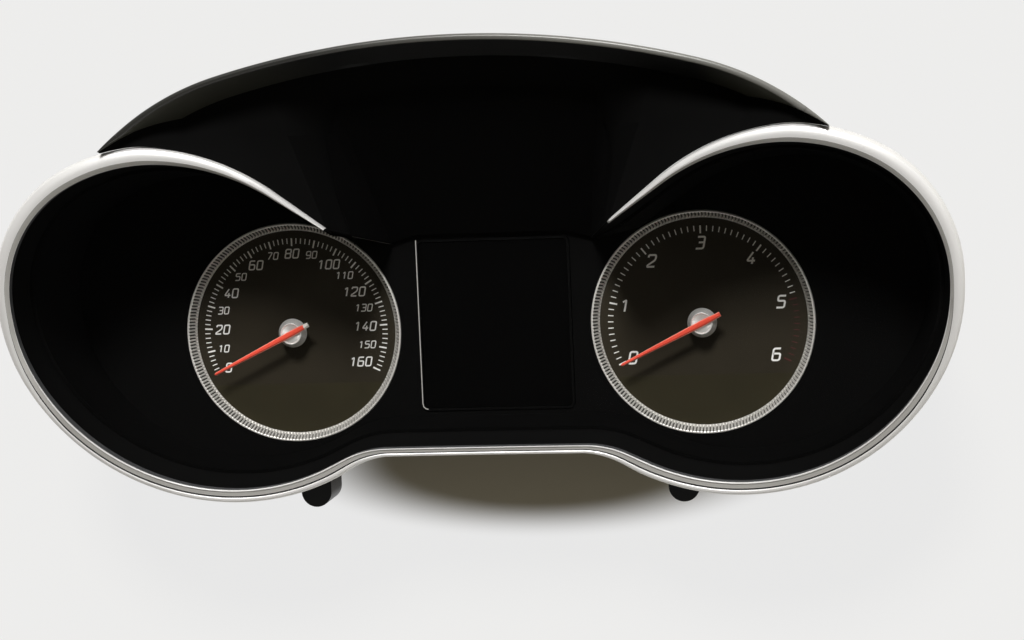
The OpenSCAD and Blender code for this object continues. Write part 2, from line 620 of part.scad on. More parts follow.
// Gear outline: involute flanks between the root and the tip, thinned for backlash
pressure = 20;
function inv(a) = tan(a) * 180 / PI - a;
function half_tooth(n, m, r) =
    let (base = n * m / 2 * cos(pressure), a = r > base ? acos(base / r) : 0)
    90 / n * 0.92 + inv(pressure) - inv(a);
function gear_points(n, m, radii) = [for (k = [0:n - 1]) each concat(
    [for (r = radii) let (t = 360 * k / n - half_tooth(n, m, r)) [r * cos(t), r * sin(t)]],
    [for (i = [len(radii) - 1:-1:0]) let (r = radii[i], t = 360 * k / n + half_tooth(n, m, r))
        [r * cos(t), r * sin(t)]])];
module wheel(n, m, z, t) {
    translate([0, 0, z]) linear_extrude(t)
        polygon(gear_points(n, m, [n * m / 2 - 1.15 * m, n * m / 2, n * m / 2 + 0.7 * m]));
}
module pinion(m, z, t) {
    r = pinion_teeth * m / 2;
    translate([0, 0, z]) linear_extrude(t)
        polygon(gear_points(pinion_teeth, m, [r - 0.95 * m, r * cos(pressure), r, r + 0.9 * m]));
}
module output_gear(side) {
    place() color("ivory") at_gauge(side) {
        rotate(-90) wheel(wheel_teeth, out_module, out_wheel_z, 1.2);
        rod(0, 0, pivot_z + flat_gap, shaft_top, shaft_r);
    }
}
module idler_gear(side) {
    place() color("ivory") at_gauge(side) translate([0, idler_y, 0]) {
        rotate(-90 + 180 / idler_teeth) wheel(idler_teeth, in_module, idler_wheel_z, 1);
        rotate(90 + 180 / pinion_teeth) pinion(out_module, idler_wheel_z + 1, 3);
        rod(0, 0, pivot_z + flat_gap, lid_base + 0.8, axle_r);
    }
}
module rotor(side) {
    place() color([0.3, 0.3, 0.3]) at_gauge(side) translate([0, rotor_y, 0]) {
        rotate(90) pinion(in_module, idler_wheel_z - 0.3, 2);
        rod(0, 0, idler_wheel_z + 1.7, idler_wheel_z + 4.7, magnet_r);
        rod(0, 0, pivot_z + flat_gap, lid_base + 0.8, axle_r);
    }
}

// Display unit
display_mid = (display_top - display_low) / 2;
display_l = display_top + display_low;
module display_slab(z0, z1, e, r) {
    translate([0, display_mid, z0]) linear_extrude(z1 - z0)
        rounded(display_w - 2 * e, display_l - 2 * e, r);
}
frame_top = floor_z + 0.6;
glass_top = floor_z - 0.1;
module display_frame() {
    place() color([0.5, 0.5, 0.5]) difference() {
        union() {
            display_slab(deck_z + deck_t, frame_top, 0, 2.8);
            display_slab(deck_z + deck_t, deck_z + deck_t + 1, -1, 2.8);
        }
        display_slab(deck_z + deck_t + 1, frame_top + 1, 1, 1.8);
        display_slab(deck_z, frame_top, 4, 1.8);
    }
}
module display_glass() {
    place() color([0.02, 0.02, 0.02]) display_slab(glass_top - 1.1, glass_top, 1.2, 1.6);
}
module display_panel() {
    place() color([0.15, 0.2, 0.2]) display_slab(glass_top - 3.3, glass_top - 1.3, 1.4, 1);
}
module display_backlight() {
    place() color("whitesmoke") display_slab(deck_z + deck_t + 1, glass_top - 3.5, 1.4, 1);
}
// Flexible strip from the backlight through the frame's opening down to the board
flex_y = display_mid - 12;
module display_flex() {
    place() color("orange") {
        box(-9, 9, flex_y, flex_y + 0.3, board_z + board_t + 1.2, deck_z + deck_t + 1 - flat_gap);
        box(-11, 11, flex_y - 2, flex_y + 2.3, board_z + board_t, board_z + board_t + 1.2);
    }
}

// Main board and what it carries
board_half = dial_x + ring_out_r + 6.6;
led_r = cup_r - 11.5;
board_high = led_r + 3;
board_low = -board_high;
module main_board() {
    place() color("darkgreen") difference() {
        translate([0, (board_low + board_high) / 2, board_z]) linear_extrude(board_t)
            rounded(2 * board_half, board_high - board_low, 4);
        for (s = GAUGE_SIDES) {
            rod(s * dial_x, 0, board_z - 1, board_z + board_t + 1, 3);
            translate([s * dial_x, 0, 0]) each_place(PEGS)
                rod(0, 0, board_z - 1, board_z + board_t + 1, 1 + run_gap);
        }
        each_place(BOARD_SCREWS) rod(0, 0, board_z - 1, board_z + board_t + 1, 1.5);
    }
}
module chip(x, y, w, l, h, r) {
    translate([x, y, board_z - h]) linear_extrude(h) rounded(w, l, r);
}
module microcontroller() {
    place() color([0.1, 0.1, 0.1]) chip(48, 2, 20, 20, 1.6, 0.5);
}
module memory_chip() {
    place() color([0.12, 0.12, 0.12]) chip(-44, 18, 6, 5, 1.7, 0.3);
}
module regulator() {
    place() color([0.15, 0.15, 0.15]) chip(-46, -6, 10, 9, 4.4, 0.4);
}
CAPACITORS = [[-60, -22, 4], [-51, -19, 3], [-60, -12, 3]];
module capacitors() {
    place() color("slategray") for (c = CAPACITORS) rod(c[0], c[1], board_z - 9, board_z, c[2]);
}
buzzer_r = 8;
buzzer_x = board_half - buzzer_r - 15;
buzzer_y = 18;
module buzzer() {
    place() color([0.07, 0.07, 0.07]) difference() {
        rod(buzzer_x, buzzer_y, board_z - 8, board_z, buzzer_r);
        rod(buzzer_x, buzzer_y, board_z - 9, board_z - 7, 1.5);
    }
}
led_n = 12;
module dial_leds() {
    place() color("lightyellow") for (s = GAUGE_SIDES) at_gauge(s) for (k = [0:led_n - 1])
        rotate(360 * (k + 0.5) / led_n) translate([led_r, 0, 0])
            box(-1.75, 1.75, -1.4, 1.4, board_z + board_t, board_z + board_t + 1.9);
}
shell_low = 0.8;
shell_wall = 1.4;
pin_tip = 7;
module connector_shell() {
    place() color([0.2, 0.2, 0.25]) translate([socket_x, socket_y, 0]) difference() {
        translate([0, 0, shell_low]) linear_extrude(board_z - shell_low)
            rounded(socket_w, socket_l, 1.5);
        translate([0, 0, shell_low - 1]) linear_extrude(board_z - shell_low - 1)
            rounded(socket_w - 2 * shell_wall, socket_l - 2 * shell_wall, 0.8);
        for (k = [0:8]) for (y = [-2.5, 2.5]) translate([(k - 4) * 4, y, 0])
            box(-0.35, 0.35, -0.35, 0.35, board_z - 3, board_z + 1);
    }
}
module connector_pins() {
    place() color("gold") translate([socket_x, socket_y, 0]) for (k = [0:8]) for (y = [-2.5, 2.5])
        translate([(k - 4) * 4, y, 0]) box(-0.32, 0.32, -0.32, 0.32, pin_tip, board_z);
}

// Screws: a flat head below or above a plain shank that fills its pilot hole
module screw(z, head_r, head_h, len) {
    rod(0, 0, z - head_h, z, head_r);
    rod(0, 0, z - head_h / 2, z + len, pilot_r);
}
screw_end_gap = 1.5;
module cover_screws() {
    place() color("gray") each_place(COVER_SCREWS) screw(cover_boss_top - 2, 2.8, 1.6, 12);
}
module board_screws() {
    place() color("gray") each_place(BOARD_SCREWS)
        screw(board_z, 2.6, 1.5, deck_z - screw_end_gap - board_z);
}
module frame_screws() {
    place() color("gray") each_place(FRAME_SCREWS)
        screw(deck_z, 2.6, 1.5, floor_z - floor_t - screw_end_gap - deck_z);
}
module hood_screws() {
    place() color("gray") for (x = [-1, 1] * hood_screw_x) translate([x, hood_screw_y, 0])
        screw(floor_z - floor_t, 2.6, 1.5, 6);
}

hood();
hood_end_left();
hood_end_right();
trim_ring();
front_lens();
front_mask();
housing();
rear_cover();
display_frame();
display_glass();
display_panel();
display_backlight();
display_flex();
ring(-1);  // speed_ring
ring(1);  // tach_ring
dial(-1);  // speed_dial
dial(1);  // tach_dial
light_guide(-1);  // speed_light_guide
light_guide(1);  // tach_light_guide
light_box(-1);  // speed_light_box
light_box(1);  // tach_light_box
pointer(-1);  // speed_pointer
pointer_cap(-1);  // speed_pointer_cap
pointer_hub(-1);  // speed_pointer_hub
pointer(1);  // tach_pointer
pointer_cap(1);  // tach_pointer_cap
pointer_hub(1);  // tach_pointer_hub
motor_case(-1);  // speed_motor_case
motor_lid(-1);  // speed_motor_lid
motor_coils(-1);  // speed_motor_coils
motor_stator(-1);  // speed_motor_stator
rotor(-1);  // speed_rotor
idler_gear(-1);  // speed_idler_gear
output_gear(-1);  // speed_output_gear
motor_case(1);  // tach_motor_case
motor_lid(1);  // tach_motor_lid
motor_coils(1);  // tach_motor_coils
motor_stator(1);  // tach_motor_stator
rotor(1);  // tach_rotor
idler_gear(1);  // tach_idler_gear
output_gear(1);  // tach_output_gear
main_board();
microcontroller();
memory_chip();
regulator();
capacitors();
buzzer();
dial_leds();
connector_shell();
connector_pins();
cover_screws();
board_screws();
frame_screws();
hood_screws();
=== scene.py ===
# %% [markdown]
# # An instrument cluster in Blender
# The cluster lies on its back: +X to the right, +Y towards the hood, +Z out of the dials.
# The CAD model gives every piece's place. All of it could be modelled anew here, but then
# the two models would drift apart. So this script dresses the CAD model: it gives each node
# a material, and swaps the pieces whose fine form shows for finer ones of the same size.

# %% Load the imported model, its parts and its joints
import json
import math

import bpy
from mathutils import Matrix, Vector


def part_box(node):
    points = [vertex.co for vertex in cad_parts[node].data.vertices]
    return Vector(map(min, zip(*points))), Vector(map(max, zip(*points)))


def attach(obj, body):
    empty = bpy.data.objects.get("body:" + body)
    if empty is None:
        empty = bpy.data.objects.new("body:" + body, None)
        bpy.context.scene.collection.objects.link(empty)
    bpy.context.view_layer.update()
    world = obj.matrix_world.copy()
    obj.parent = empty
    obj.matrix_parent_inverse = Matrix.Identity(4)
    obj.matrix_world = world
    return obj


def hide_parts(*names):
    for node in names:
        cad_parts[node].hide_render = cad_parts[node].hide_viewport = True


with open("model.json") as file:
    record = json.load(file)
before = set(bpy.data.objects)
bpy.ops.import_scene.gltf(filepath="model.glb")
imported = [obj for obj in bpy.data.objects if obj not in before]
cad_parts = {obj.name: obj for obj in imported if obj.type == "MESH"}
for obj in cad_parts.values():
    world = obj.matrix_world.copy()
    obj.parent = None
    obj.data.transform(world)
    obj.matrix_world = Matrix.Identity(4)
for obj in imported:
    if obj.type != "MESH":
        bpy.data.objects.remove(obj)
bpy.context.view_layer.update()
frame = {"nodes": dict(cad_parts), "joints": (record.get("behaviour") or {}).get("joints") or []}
nodes = frame["nodes"]

# %% [markdown]
# ## Sizes
# All sizes are in millimetres, and Y counts from the dial centres, as on the real part's
# drawing. The dials' places could be typed in again, but they come from the frame's own
# joints and boxes, so that they always fit the CAD model.

# %% Name the sizes
MM = 0.001
needle = {j["name"]: j for j in frame["joints"]}["tach_needle_turn"]
DIAL_X = needle["pos_m"][0] / MM
Y_SHIFT = needle["pos_m"][1] / MM
DIAL_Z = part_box("tach_dial")[1].z / MM
GAUGES = (("speed", -DIAL_X), ("tach", DIAL_X))
# A scale runs 232 degrees round its dial, from the first mark at the lower left.
SWEEP = 232
ZERO = 90 + SWEEP / 2
SCALE_R = 40.2
RING_IN = 43.6
RING_OUT = 46.8
# The front face is a large cylinder, tilted so that it rises towards the hood.
FACE_Z = DIAL_Z + 54.5
FACE_TILT = math.radians(13)
FACE_R = 1440
FLOOR_Z = DIAL_Z + 4.5
print("dials at", round(DIAL_X, 2), round(Y_SHIFT, 2), round(DIAL_Z, 2))


def surf(x, y):
    """Height of the curved, tilted front face."""
    bulge = FACE_R - math.sqrt(FACE_R * FACE_R - x * x)
    return FACE_Z + bulge / math.cos(FACE_TILT) + y * math.tan(FACE_TILT)


def lerp(a, b, t):
    """The value a share t of the way from a to b."""
    return a + (b - a) * t


def between(a, b, t):
    """The point a share t of the way from a to b."""
    return [lerp(u, v, t) for u, v in zip(a, b)]


def share(t):
    """A share kept between 0 and 1."""
    return max(0.0, min(1.0, t))


def row(x, y, z):
    """A point of the drawing, in metres in the model's frame."""
    return Vector((x, y + Y_SHIFT, z)) * MM


# %% [markdown]
# ## Mesh helpers
# Each piece is a closed solid, as a moulded or turned part is. Such forms could be cut from
# primitives with modifiers. Rings of points are shorter to write, and put clean faces where
# the real edges are: a loft joins closed rings, and a lathe turns a profile round a dial.

# %% Define the mesh helpers
def add_object(name, data):
    """A new object in the scene."""
    item = bpy.data.objects.new(name, data)
    bpy.context.scene.collection.objects.link(item)
    return item


def add_mesh(name, points, faces, finishes, body="cluster", soft=40):
    """A new piece that rides on a body. Edges sharper than the soft angle stay crisp."""
    mesh = bpy.data.meshes.new(name)
    mesh.from_pydata([tuple(p) for p in points], [], faces)
    for coat in finishes:
        mesh.materials.append(MATERIALS[coat])
    mesh.polygons.foreach_set("use_smooth", [True] * len(mesh.polygons))
    mesh.set_sharp_from_angle(angle=math.radians(soft))
    mesh.validate()
    piece = add_object(name, mesh)
    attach(piece, body)
    return piece


def loft_faces(n, m, closed=False):
    """Faces of a loft of n rings with m points each, and the ring and segment of each."""
    faces = []
    places = []
    for i in range(n if closed else n - 1):
        a = i * m
        b = (i + 1) % n * m
        for j in range(m):
            k = (j + 1) % m
            faces.append((a + j, a + k, b + k, b + j))
            places.append((i, j))
    if not closed:
        faces.append(tuple(range(m - 1, -1, -1)))
        faces.append(tuple((n - 1) * m + j for j in range(m)))
        places += [(0, 0), (n - 1, 0)]
    return faces, places


def lathe(name, cx, profile, count, finishes, body="cluster", cut_at=None, soft=40):
    """Turns a profile round a dial's axis. Its points are radius, height and share of the
    cut: the cut at a step moves a point outwards, and half as far down."""
    points = []
    for i in range(count):
        a = 2 * math.pi * i / count
        cut = cut_at(i) if cut_at else 0
        for r, z, part in profile:
            deep = cut * part
            points.append(row(cx + (r + deep) * math.cos(a), (r + deep) * math.sin(a),
                              DIAL_Z + z - deep / 2))
    faces, _ = loft_faces(count, len(profile), closed=True)
    return add_mesh(name, points, faces, finishes, body, soft)


# %% [markdown]
# ## Materials
# Each material is named for what the real piece is made of and how it is made. The patterns
# could be photographs of surfaces, but nodes need no files and stay sharp at any distance.
# Their scales come from real sizes. Every finish has a fine bump, a roughness that varies
# with it, and a colour that changes a little over the surface, because no moulded or
# printed surface is quite even. On the hood's edge and lip the change is painted light.

# %% Define the material helpers
MATERIALS = {}


def linear(code):
    """An sRGB colour such as 1A2B3C as linear numbers."""
    channels = [int(code[i:i + 2], 16) / 255 for i in (0, 2, 4)]
    curve = [c / 12.92 if c <= 0.04045 else ((c + 0.055) / 1.055) ** 2.4 for c in channels]
    return (*curve, 1)


def add_node(tree, kind, inputs=None, **settings):
    """A shader node with its settings and inputs. An input is a number, a colour or a link."""
    node = tree.nodes.new(kind)
    for key, value in settings.items():
        setattr(node, key, value)
    for key, value in (inputs or {}).items():
        if isinstance(value, bpy.types.NodeSocket):
            tree.links.new(value, node.inputs[key])
        else:
            node.inputs[key].default_value = value
    return node


def start_material(name, base, rough, **sockets):
    """A material with one Principled shader, and its tree."""
    material = bpy.data.materials.new(name)
    material.use_nodes = True
    tree = material.node_tree
    shader = tree.nodes["Principled BSDF"]
    shader.inputs["Base Color"].default_value = linear(base)
    shader.inputs["Roughness"].default_value = rough
    for key, value in sockets.items():
        shader.inputs[key.replace("_", " ")].default_value = value
    material.diffuse_color = linear(base)
    MATERIALS[name] = material
    return tree, shader


# %% Define the finishes
# Moulded colour drifts over about a thumb's width, as the melt flows.
DRIFT_MM = 14


def share_along_x(tree, place, runs):
    """The largest of the shares that grow from 0 to 1 along the runs of X."""
    along = add_node(tree, "ShaderNodeSeparateXYZ", {"Vector": place.outputs["Object"]})
    most = 0.0
    for start, stop in runs:
        grown = add_node(tree, "ShaderNodeMapRange", {
            "Value": along.outputs["X"], "From Min": start * MM, "From Max": stop * MM})
        larger = add_node(tree, "ShaderNodeMath", {
            0: grown.outputs["Result"], 1: most}, operation="MAXIMUM")
        most = larger.outputs["Value"]
    return most


def finish(name, base, other, size_mm, height_mm, low, high, runs=None, **sockets):
    """A surface with fine grain of that size and height. Its roughness varies with the
    grain from low to high. Its colour drifts between the two tones, or turns from one to
    the other along the runs, where light is painted in."""
    tree, shader = start_material(name, base, high, **sockets)
    place = add_node(tree, "ShaderNodeTexCoord")
    noise = add_node(tree, "ShaderNodeTexNoise", {
        "Vector": place.outputs["Object"], "Scale": 1 / (size_mm * MM), "Detail": 3.0})
    bump = add_node(tree, "ShaderNodeBump", {
        "Height": noise.outputs["Fac"], "Strength": 1.0, "Distance": height_mm * MM})
    band = add_node(tree, "ShaderNodeMapRange", {
        "Value": noise.outputs["Fac"], "From Min": 0.3, "From Max": 0.7,
        "To Min": low, "To Max": high})
    if runs:
        amount = share_along_x(tree, place, runs)
    else:
        cloud = add_node(tree, "ShaderNodeTexNoise", {
            "Vector": place.outputs["Object"], "Scale": 1 / (DRIFT_MM * MM), "Detail": 5.0})
        amount = cloud.outputs["Fac"]
    tone = add_node(tree, "ShaderNodeMix", {
        0: amount, 6: linear(base), 7: linear(other)}, data_type="RGBA")
    tree.links.new(bump.outputs["Normal"], shader.inputs["Normal"])
    tree.links.new(band.outputs["Result"], shader.inputs["Roughness"])
    tree.links.new(tone.outputs[2], shader.inputs["Base Color"])
    return tree, shader


# %% Make the black plastics
# An eroded tool leaves a fine grain, so the black turns dark grey where light grazes it.
finish("abs_black_eroded_grain", "151515", "1D1D1C", 0.25, 0.012, 0.4, 0.55)
# The hood's rounded edge is polished dark grey, and right of the middle a painted reflection
# lightens it.
PAINTED_REFLECTION_RUN = (-60, 50)
finish("abs_black_edge_polished_painted_reflection", "2B2B28", "757571", 0.4, 0.003, 0.26, 0.34, runs=(PAINTED_REFLECTION_RUN,))
# The lip inside it is satin black, and towards both ends painted light turns it olive-grey.
PAINTED_LIGHT_LEFT = (-50, -125)
PAINTED_LIGHT_RIGHT = (95, 122)
finish("abs_black_lip_satin_painted_light", "10100F", "4C4D46", 0.3, 0.004, 0.3, 0.42,
       runs=(PAINTED_LIGHT_LEFT, PAINTED_LIGHT_RIGHT), Specular_IOR_Level=0.4)
# The mask is sprayed matt black to swallow every reflection.
finish("abs_black_inner_matt", "0A0A0A", "0D0D0D", 0.2, 0.01, 0.75, 0.9,
       Specular_IOR_Level=0.02)
# Talc makes the housing's polypropylene a dull, slightly waxy black.
finish("pp_black_housing_talc_filled", "0C0C0C", "141414", 0.5, 0.02, 0.32, 0.45)
# Glass fibre in the connector's polyester makes it dull, with a cool grey cast.
finish("pbt_black_connector", "16171A", "1E1F22", 0.3, 0.01, 0.4, 0.55)
# Chips are moulded in epoxy filled with silica, so they look flat and a little chalky.
finish("epoxy_black_chip", "141415", "1B1B1C", 0.15, 0.008, 0.5, 0.65)
print("black plastics:", len(MATERIALS))

# %% Make the pale plastics
# A light box is pigmented white and slightly rough, so that it spreads the lamps' light.
finish("abs_white_light_box", "E9E8E2", "DFDED6", 0.3, 0.01, 0.45, 0.6)
# Acetal gears are ivory and waxy, motor cases a little duller.
finish("pom_ivory_gear_moulded", "E4DFCB", "D8D2BC", 0.3, 0.005, 0.3, 0.42)
finish("pbt_ivory_motor_case", "D9D3BF", "CCC5AF", 0.35, 0.01, 0.4, 0.55)

# %% Make the metals
# Zinc plating gives the screws a cool shine with a slight cloud in it.
finish("zinc_plated_steel_screw", "B9BBBC", "A6A9AC", 0.4, 0.004, 0.22, 0.38, Metallic=1.0)
# The stators are punched from bare electrical sheet, darker and duller than the screws.
finish("electrical_iron_stator", "7A7C80", "6C6E72", 0.3, 0.004, 0.35, 0.5, Metallic=1.0)
# Baked enamel over the copper wire gives the coils a warm gloss.
finish("enamelled_copper_winding", "B5652F", "9E5426", 0.3, 0.01, 0.25, 0.4, Metallic=1.0)
# A sintered magnet is nearly black and rough to the eye.
finish("ferrite_magnet_sintered", "35353A", "2C2C30", 0.25, 0.01, 0.5, 0.65, Metallic=1.0)
# Gold plating is smooth, so the pins gleam.
finish("gold_plated_pin", "D9AE55", "CDA048", 0.3, 0.003, 0.15, 0.28, Metallic=1.0)
# A capacitor's can is drawn from sheet, which leaves a soft, even sheen.
finish("aluminium_capacitor_can", "A9ADB2", "9EA2A8", 0.5, 0.004, 0.25, 0.4, Metallic=1.0)

# %% Make the silver finishes
# The trim is silver lacquer over moulded plastic: flakes under a clear coat look bright
# from every side, brighter than bare metal would. The band beside the ridge is duller.
finish("silver_lacquer_flange_bright", "F0F0F0", "E8E8E8", 0.2, 0.002, 0.34, 0.46,
       Metallic=0.25)
finish("silver_lacquer_band_satin", "C2C1BE", "B6B5B2", 0.2, 0.002, 0.4, 0.52, Metallic=0.3)
# The groove, the inner wall and the underside are painted a darker grey, for the shade that
# falls in them.
finish("trim_groove_shadow_grey", "4A4B4D", "404143", 0.2, 0.002, 0.5, 0.65, Metallic=0.2)
# The knurled rings are plated and then matted, so each rib shows a soft highlight. Dark
# grey is painted into the valleys between the ribs, for the shade that falls in them.
finish("plated_ring_satin", "F0EEEA", "E4E2DC", 0.3, 0.003, 0.35, 0.48, Metallic=0.5)
finish("plated_ring_valley_painted_shade", "4E4C48", "403E3A", 0.2, 0.003, 0.5, 0.65, Metallic=0.5)

# %% Make the spun cap
# Turning leaves grooves round the cap's axis, and they pull the highlight into a fan. Real
# grooves are about 0.1 mm apart: these are coarser, so that the render shows them.
GROOVE_MM = 0.35
CAP_WIDTH = 12.4
tree, shader = start_material("spun_aluminium_cap", "ECEAE7", 0.5, Metallic=0.75,
                              Anisotropic=0.7)
place = add_node(tree, "ShaderNodeTexCoord")
centred = add_node(tree, "ShaderNodeMapping", {
    "Vector": place.outputs["Generated"], "Scale": (CAP_WIDTH * MM,) * 3,
    "Location": (-CAP_WIDTH * MM / 2,) * 3})
grooves = add_node(tree, "ShaderNodeTexWave", {
    "Vector": centred.outputs["Vector"], "Scale": math.pi / 10 / (GROOVE_MM * MM)},
    wave_type="RINGS", rings_direction="Z")
bump = add_node(tree, "ShaderNodeBump", {
    "Height": grooves.outputs["Fac"], "Strength": 0.6, "Distance": 0.02 * MM})
round_it = add_node(tree, "ShaderNodeTangent", direction_type="RADIAL", axis="Z")
tree.links.new(bump.outputs["Normal"], shader.inputs["Normal"])
tree.links.new(round_it.outputs["Tangent"], shader.inputs["Tangent"])
# The rim and the cone are diamond-turned after the disc, so they are brighter.
finish("turned_aluminium_rim", "FAFAF8", "F0F0EE", 0.2, 0.001, 0.3, 0.4, Metallic=0.45)

# %% Make the dial's and the pointer's finishes
# The dial film is a smoked foil: nearly black in shade, brown-grey where light falls on it.
finish("dial_film_smoked_matt", "2A261D", "322D23", 0.12, 0.004, 0.45, 0.6,
       Specular_IOR_Level=0.15)
# Over the warning lamps the foil has no matt coat, so it is smoother and a little paler.
finish("window_film_smoked_gloss", "353123", "2B281D", 0.12, 0.001, 0.3, 0.4,
       Specular_IOR_Level=0.2)
# Screen ink stands on the film as a thin opaque skin.
finish("print_white_screen_ink", "FBFBFA", "F4F4F2", 0.1, 0.003, 0.5, 0.6)
finish("print_red_screen_ink", "4A0F0A", "3E0C08", 0.1, 0.003, 0.5, 0.6)
# The pointer is clear acrylic with a coral foil below, so its edges look paler.
finish("pmma_coral_pointer", "FF604A", "F6503C", 0.4, 0.003, 0.3, 0.42)
finish("pmma_coral_pointer_edge", "FFA898", "FF9A88", 0.4, 0.003, 0.3, 0.42)
# On one pointer the tail's end is a painted highlight, a cloudy white.
finish("pmma_pointer_tail_painted_highlight", "F6F2EC", "E4DED8", 0.4, 0.003, 0.25, 0.35)

# %% Make the display's and the board's finishes
# The display's glass is coated black from behind, so it is deep black with a faint gloss.
finish("display_glass_black_coated", "040404", "060606", 3.0, 0.001, 0.12, 0.2,
       Specular_IOR_Level=0.15)
# Its frame is anodised matt black, and merges with the mask round it.
finish("display_frame_black_anodised", "080808", "0B0B0B", 0.3, 0.004, 0.7, 0.8,
       Specular_IOR_Level=0.03)
# The display cell is tinted glass, a dark grey-green while it is off.
finish("display_cell_tinted", "1C2324", "222A2B", 1.0, 0.001, 0.2, 0.3)
# The flex strip's copper lies between amber films, smooth and slightly glossy.
finish("polyimide_flex_amber", "C07A22", "B06C1B", 0.5, 0.003, 0.3, 0.4)
# Solder mask is a green lacquer, and the glass weave of the board mottles it.
finish("fr4_green_solder_mask", "1E4A2C", "194026", 0.4, 0.004, 0.3, 0.45)

# %% Make the clear pieces
def clear_sheet(name, tint, rough, bend):
    """A thin clear sheet: mostly see-through, with the gloss that Fresnel gives."""
    material = bpy.data.materials.new(name)
    material.use_nodes = True
    tree = material.node_tree
    tree.nodes.remove(tree.nodes["Principled BSDF"])
    through = add_node(tree, "ShaderNodeBsdfTransparent", {"Color": linear(tint)})
    gloss = add_node(tree, "ShaderNodeBsdfGlossy", {"Roughness": rough})
    glint = add_node(tree, "ShaderNodeFresnel", {"IOR": bend})
    mix = add_node(tree, "ShaderNodeMixShader", {
        0: glint.outputs["Fac"], 1: through.outputs["BSDF"], 2: gloss.outputs["BSDF"]})
    tree.links.new(mix.outputs["Shader"], tree.nodes["Material Output"].inputs["Surface"])
    MATERIALS[name] = material


# The lens has an anti-reflection coat, so it nearly vanishes and only glints at its rim.
clear_sheet("pmma_clear_coated_lens", "FEFEFE", 0.08, 1.06)
# A light guide is uncoated acrylic with a cool tint, frosted a little to let light out.
clear_sheet("pmma_clear_light_guide", "EEF4F8", 0.2, 1.33)
print("materials:", len(MATERIALS))

# %% [markdown]
# ## The trim's outline
# The outline could be traced point by point. A chain of straight runs and arcs, mirrored at
# the middle, needs few numbers and has no bumps, as the real tool's path has none. It
# follows the lower edge, goes round a lobe and comes back along the blade to its tip; from
# there a thin ridge runs down to the display.

# %% Walk the outline
BOTTOM_FLAT = 41.5
BOTTOM_Y = 44.9
RIDGE_LEN = 18
STATION_STEP = 1.5
# Each leg is a straight run, its length and 0, or an arc, its radius and turn in degrees.
HALF_LEGS = (
    (BOTTOM_FLAT, 0), (39.5, -26), (8, 0), (87, 88.5), (72.5, 30.5), (54.5, 60.5), (73, 29.5),
    (85.5, 31.5), (25.5, 0))


def walk(step):
    """Stations along half of the outline: x, y, normal x, normal y, share of the ridge."""
    x, y, heading = 0.0, -BOTTOM_Y, 0.0
    stations = [(x, y, 0.0, -1.0, 0.0)]
    for size, turn in HALF_LEGS:
        length = size * math.radians(abs(turn)) if turn else size
        count = max(2, round(length / step))
        x0, y0, h0 = x, y, heading
        for k in range(1, count + 1):
            heading = h0 + math.radians(turn) * k / count
            if turn:
                s = math.copysign(1, turn)
                x = x0 + s * size * (math.sin(heading) - math.sin(h0))
                y = y0 - s * size * (math.cos(heading) - math.cos(h0))
            else:
                x = x0 + size * k / count * math.cos(h0)
                y = y0 + size * k / count * math.sin(h0)
            stations.append((x, y, math.sin(heading), -math.cos(heading), 0.0))
    x0, y0 = x, y
    count = round(RIDGE_LEN / step)
    for k in range(1, count + 1):
        x = x0 + RIDGE_LEN * k / count * math.cos(heading)
        y = y0 + RIDGE_LEN * k / count * math.sin(heading)
        stations.append((x, y, math.sin(heading), -math.cos(heading), k / count))
    return stations


def out(p, d):
    """The point a distance d outwards from a station."""
    return p[0] + p[2] * d, p[1] + p[3] * d


HALF = walk(STATION_STEP)
LOOP = [(-p[0], p[1], -p[2], p[3], p[4]) for p in HALF[:0:-1]] + HALF
TIP = next(q for q, r in zip(HALF, HALF[1:]) if r[4] > 0)
TIP_Z = surf(TIP[0], TIP[1])
print("outline stations:", len(LOOP), "tip at", round(TIP[0], 2), round(TIP[1], 2))

# %% Set the trim's height and width along the outline
TIP_W = 1.2
RIDGE_W = 0.7
RIDGE_END_RISE = 3
TRIM_W = 5.6
CROWN_W = 7.4
CROWN_LOW = 20
CROWN_RUN = 45
BOTTOM_W = 3.6
SWELL_RUN = 24
TAPER_X = 130


def trim_z(p):
    """Height of the trim's upper face at a station."""
    return surf(p[0], p[1]) if p[4] == 0 else lerp(TIP_Z, FLOOR_Z + RIDGE_END_RISE, p[4])


def trim_width(p):
    """Width of the trim: narrow below, broad on the crown, pointed at the blade's tip."""
    if p[4] > 0:
        return lerp(TIP_W, RIDGE_W, p[4])
    if p[1] > RING_IN and abs(p[0]) < TAPER_X:
        return lerp(TIP_W, CROWN_W, (abs(p[0]) - TIP[0]) / (TAPER_X - TIP[0]))
    if p[1] < 0:
        return lerp(BOTTOM_W, TRIM_W, share((abs(p[0]) - BOTTOM_FLAT) / SWELL_RUN))
    return lerp(TRIM_W, CROWN_W, share((p[1] - CROWN_LOW) / CROWN_RUN))


# %% [markdown]
# ## Trim
# The silver trim is one moulding. Below, its section has a bright inner ridge, a satin band,
# a dark groove and a bright flange that falls away outwards. On the way up the ridge and the
# groove run out, and a broad crown stays. It could be a curve with a bevel, but that keeps
# one section all round. A loft blends one section into the other, square to the outline.

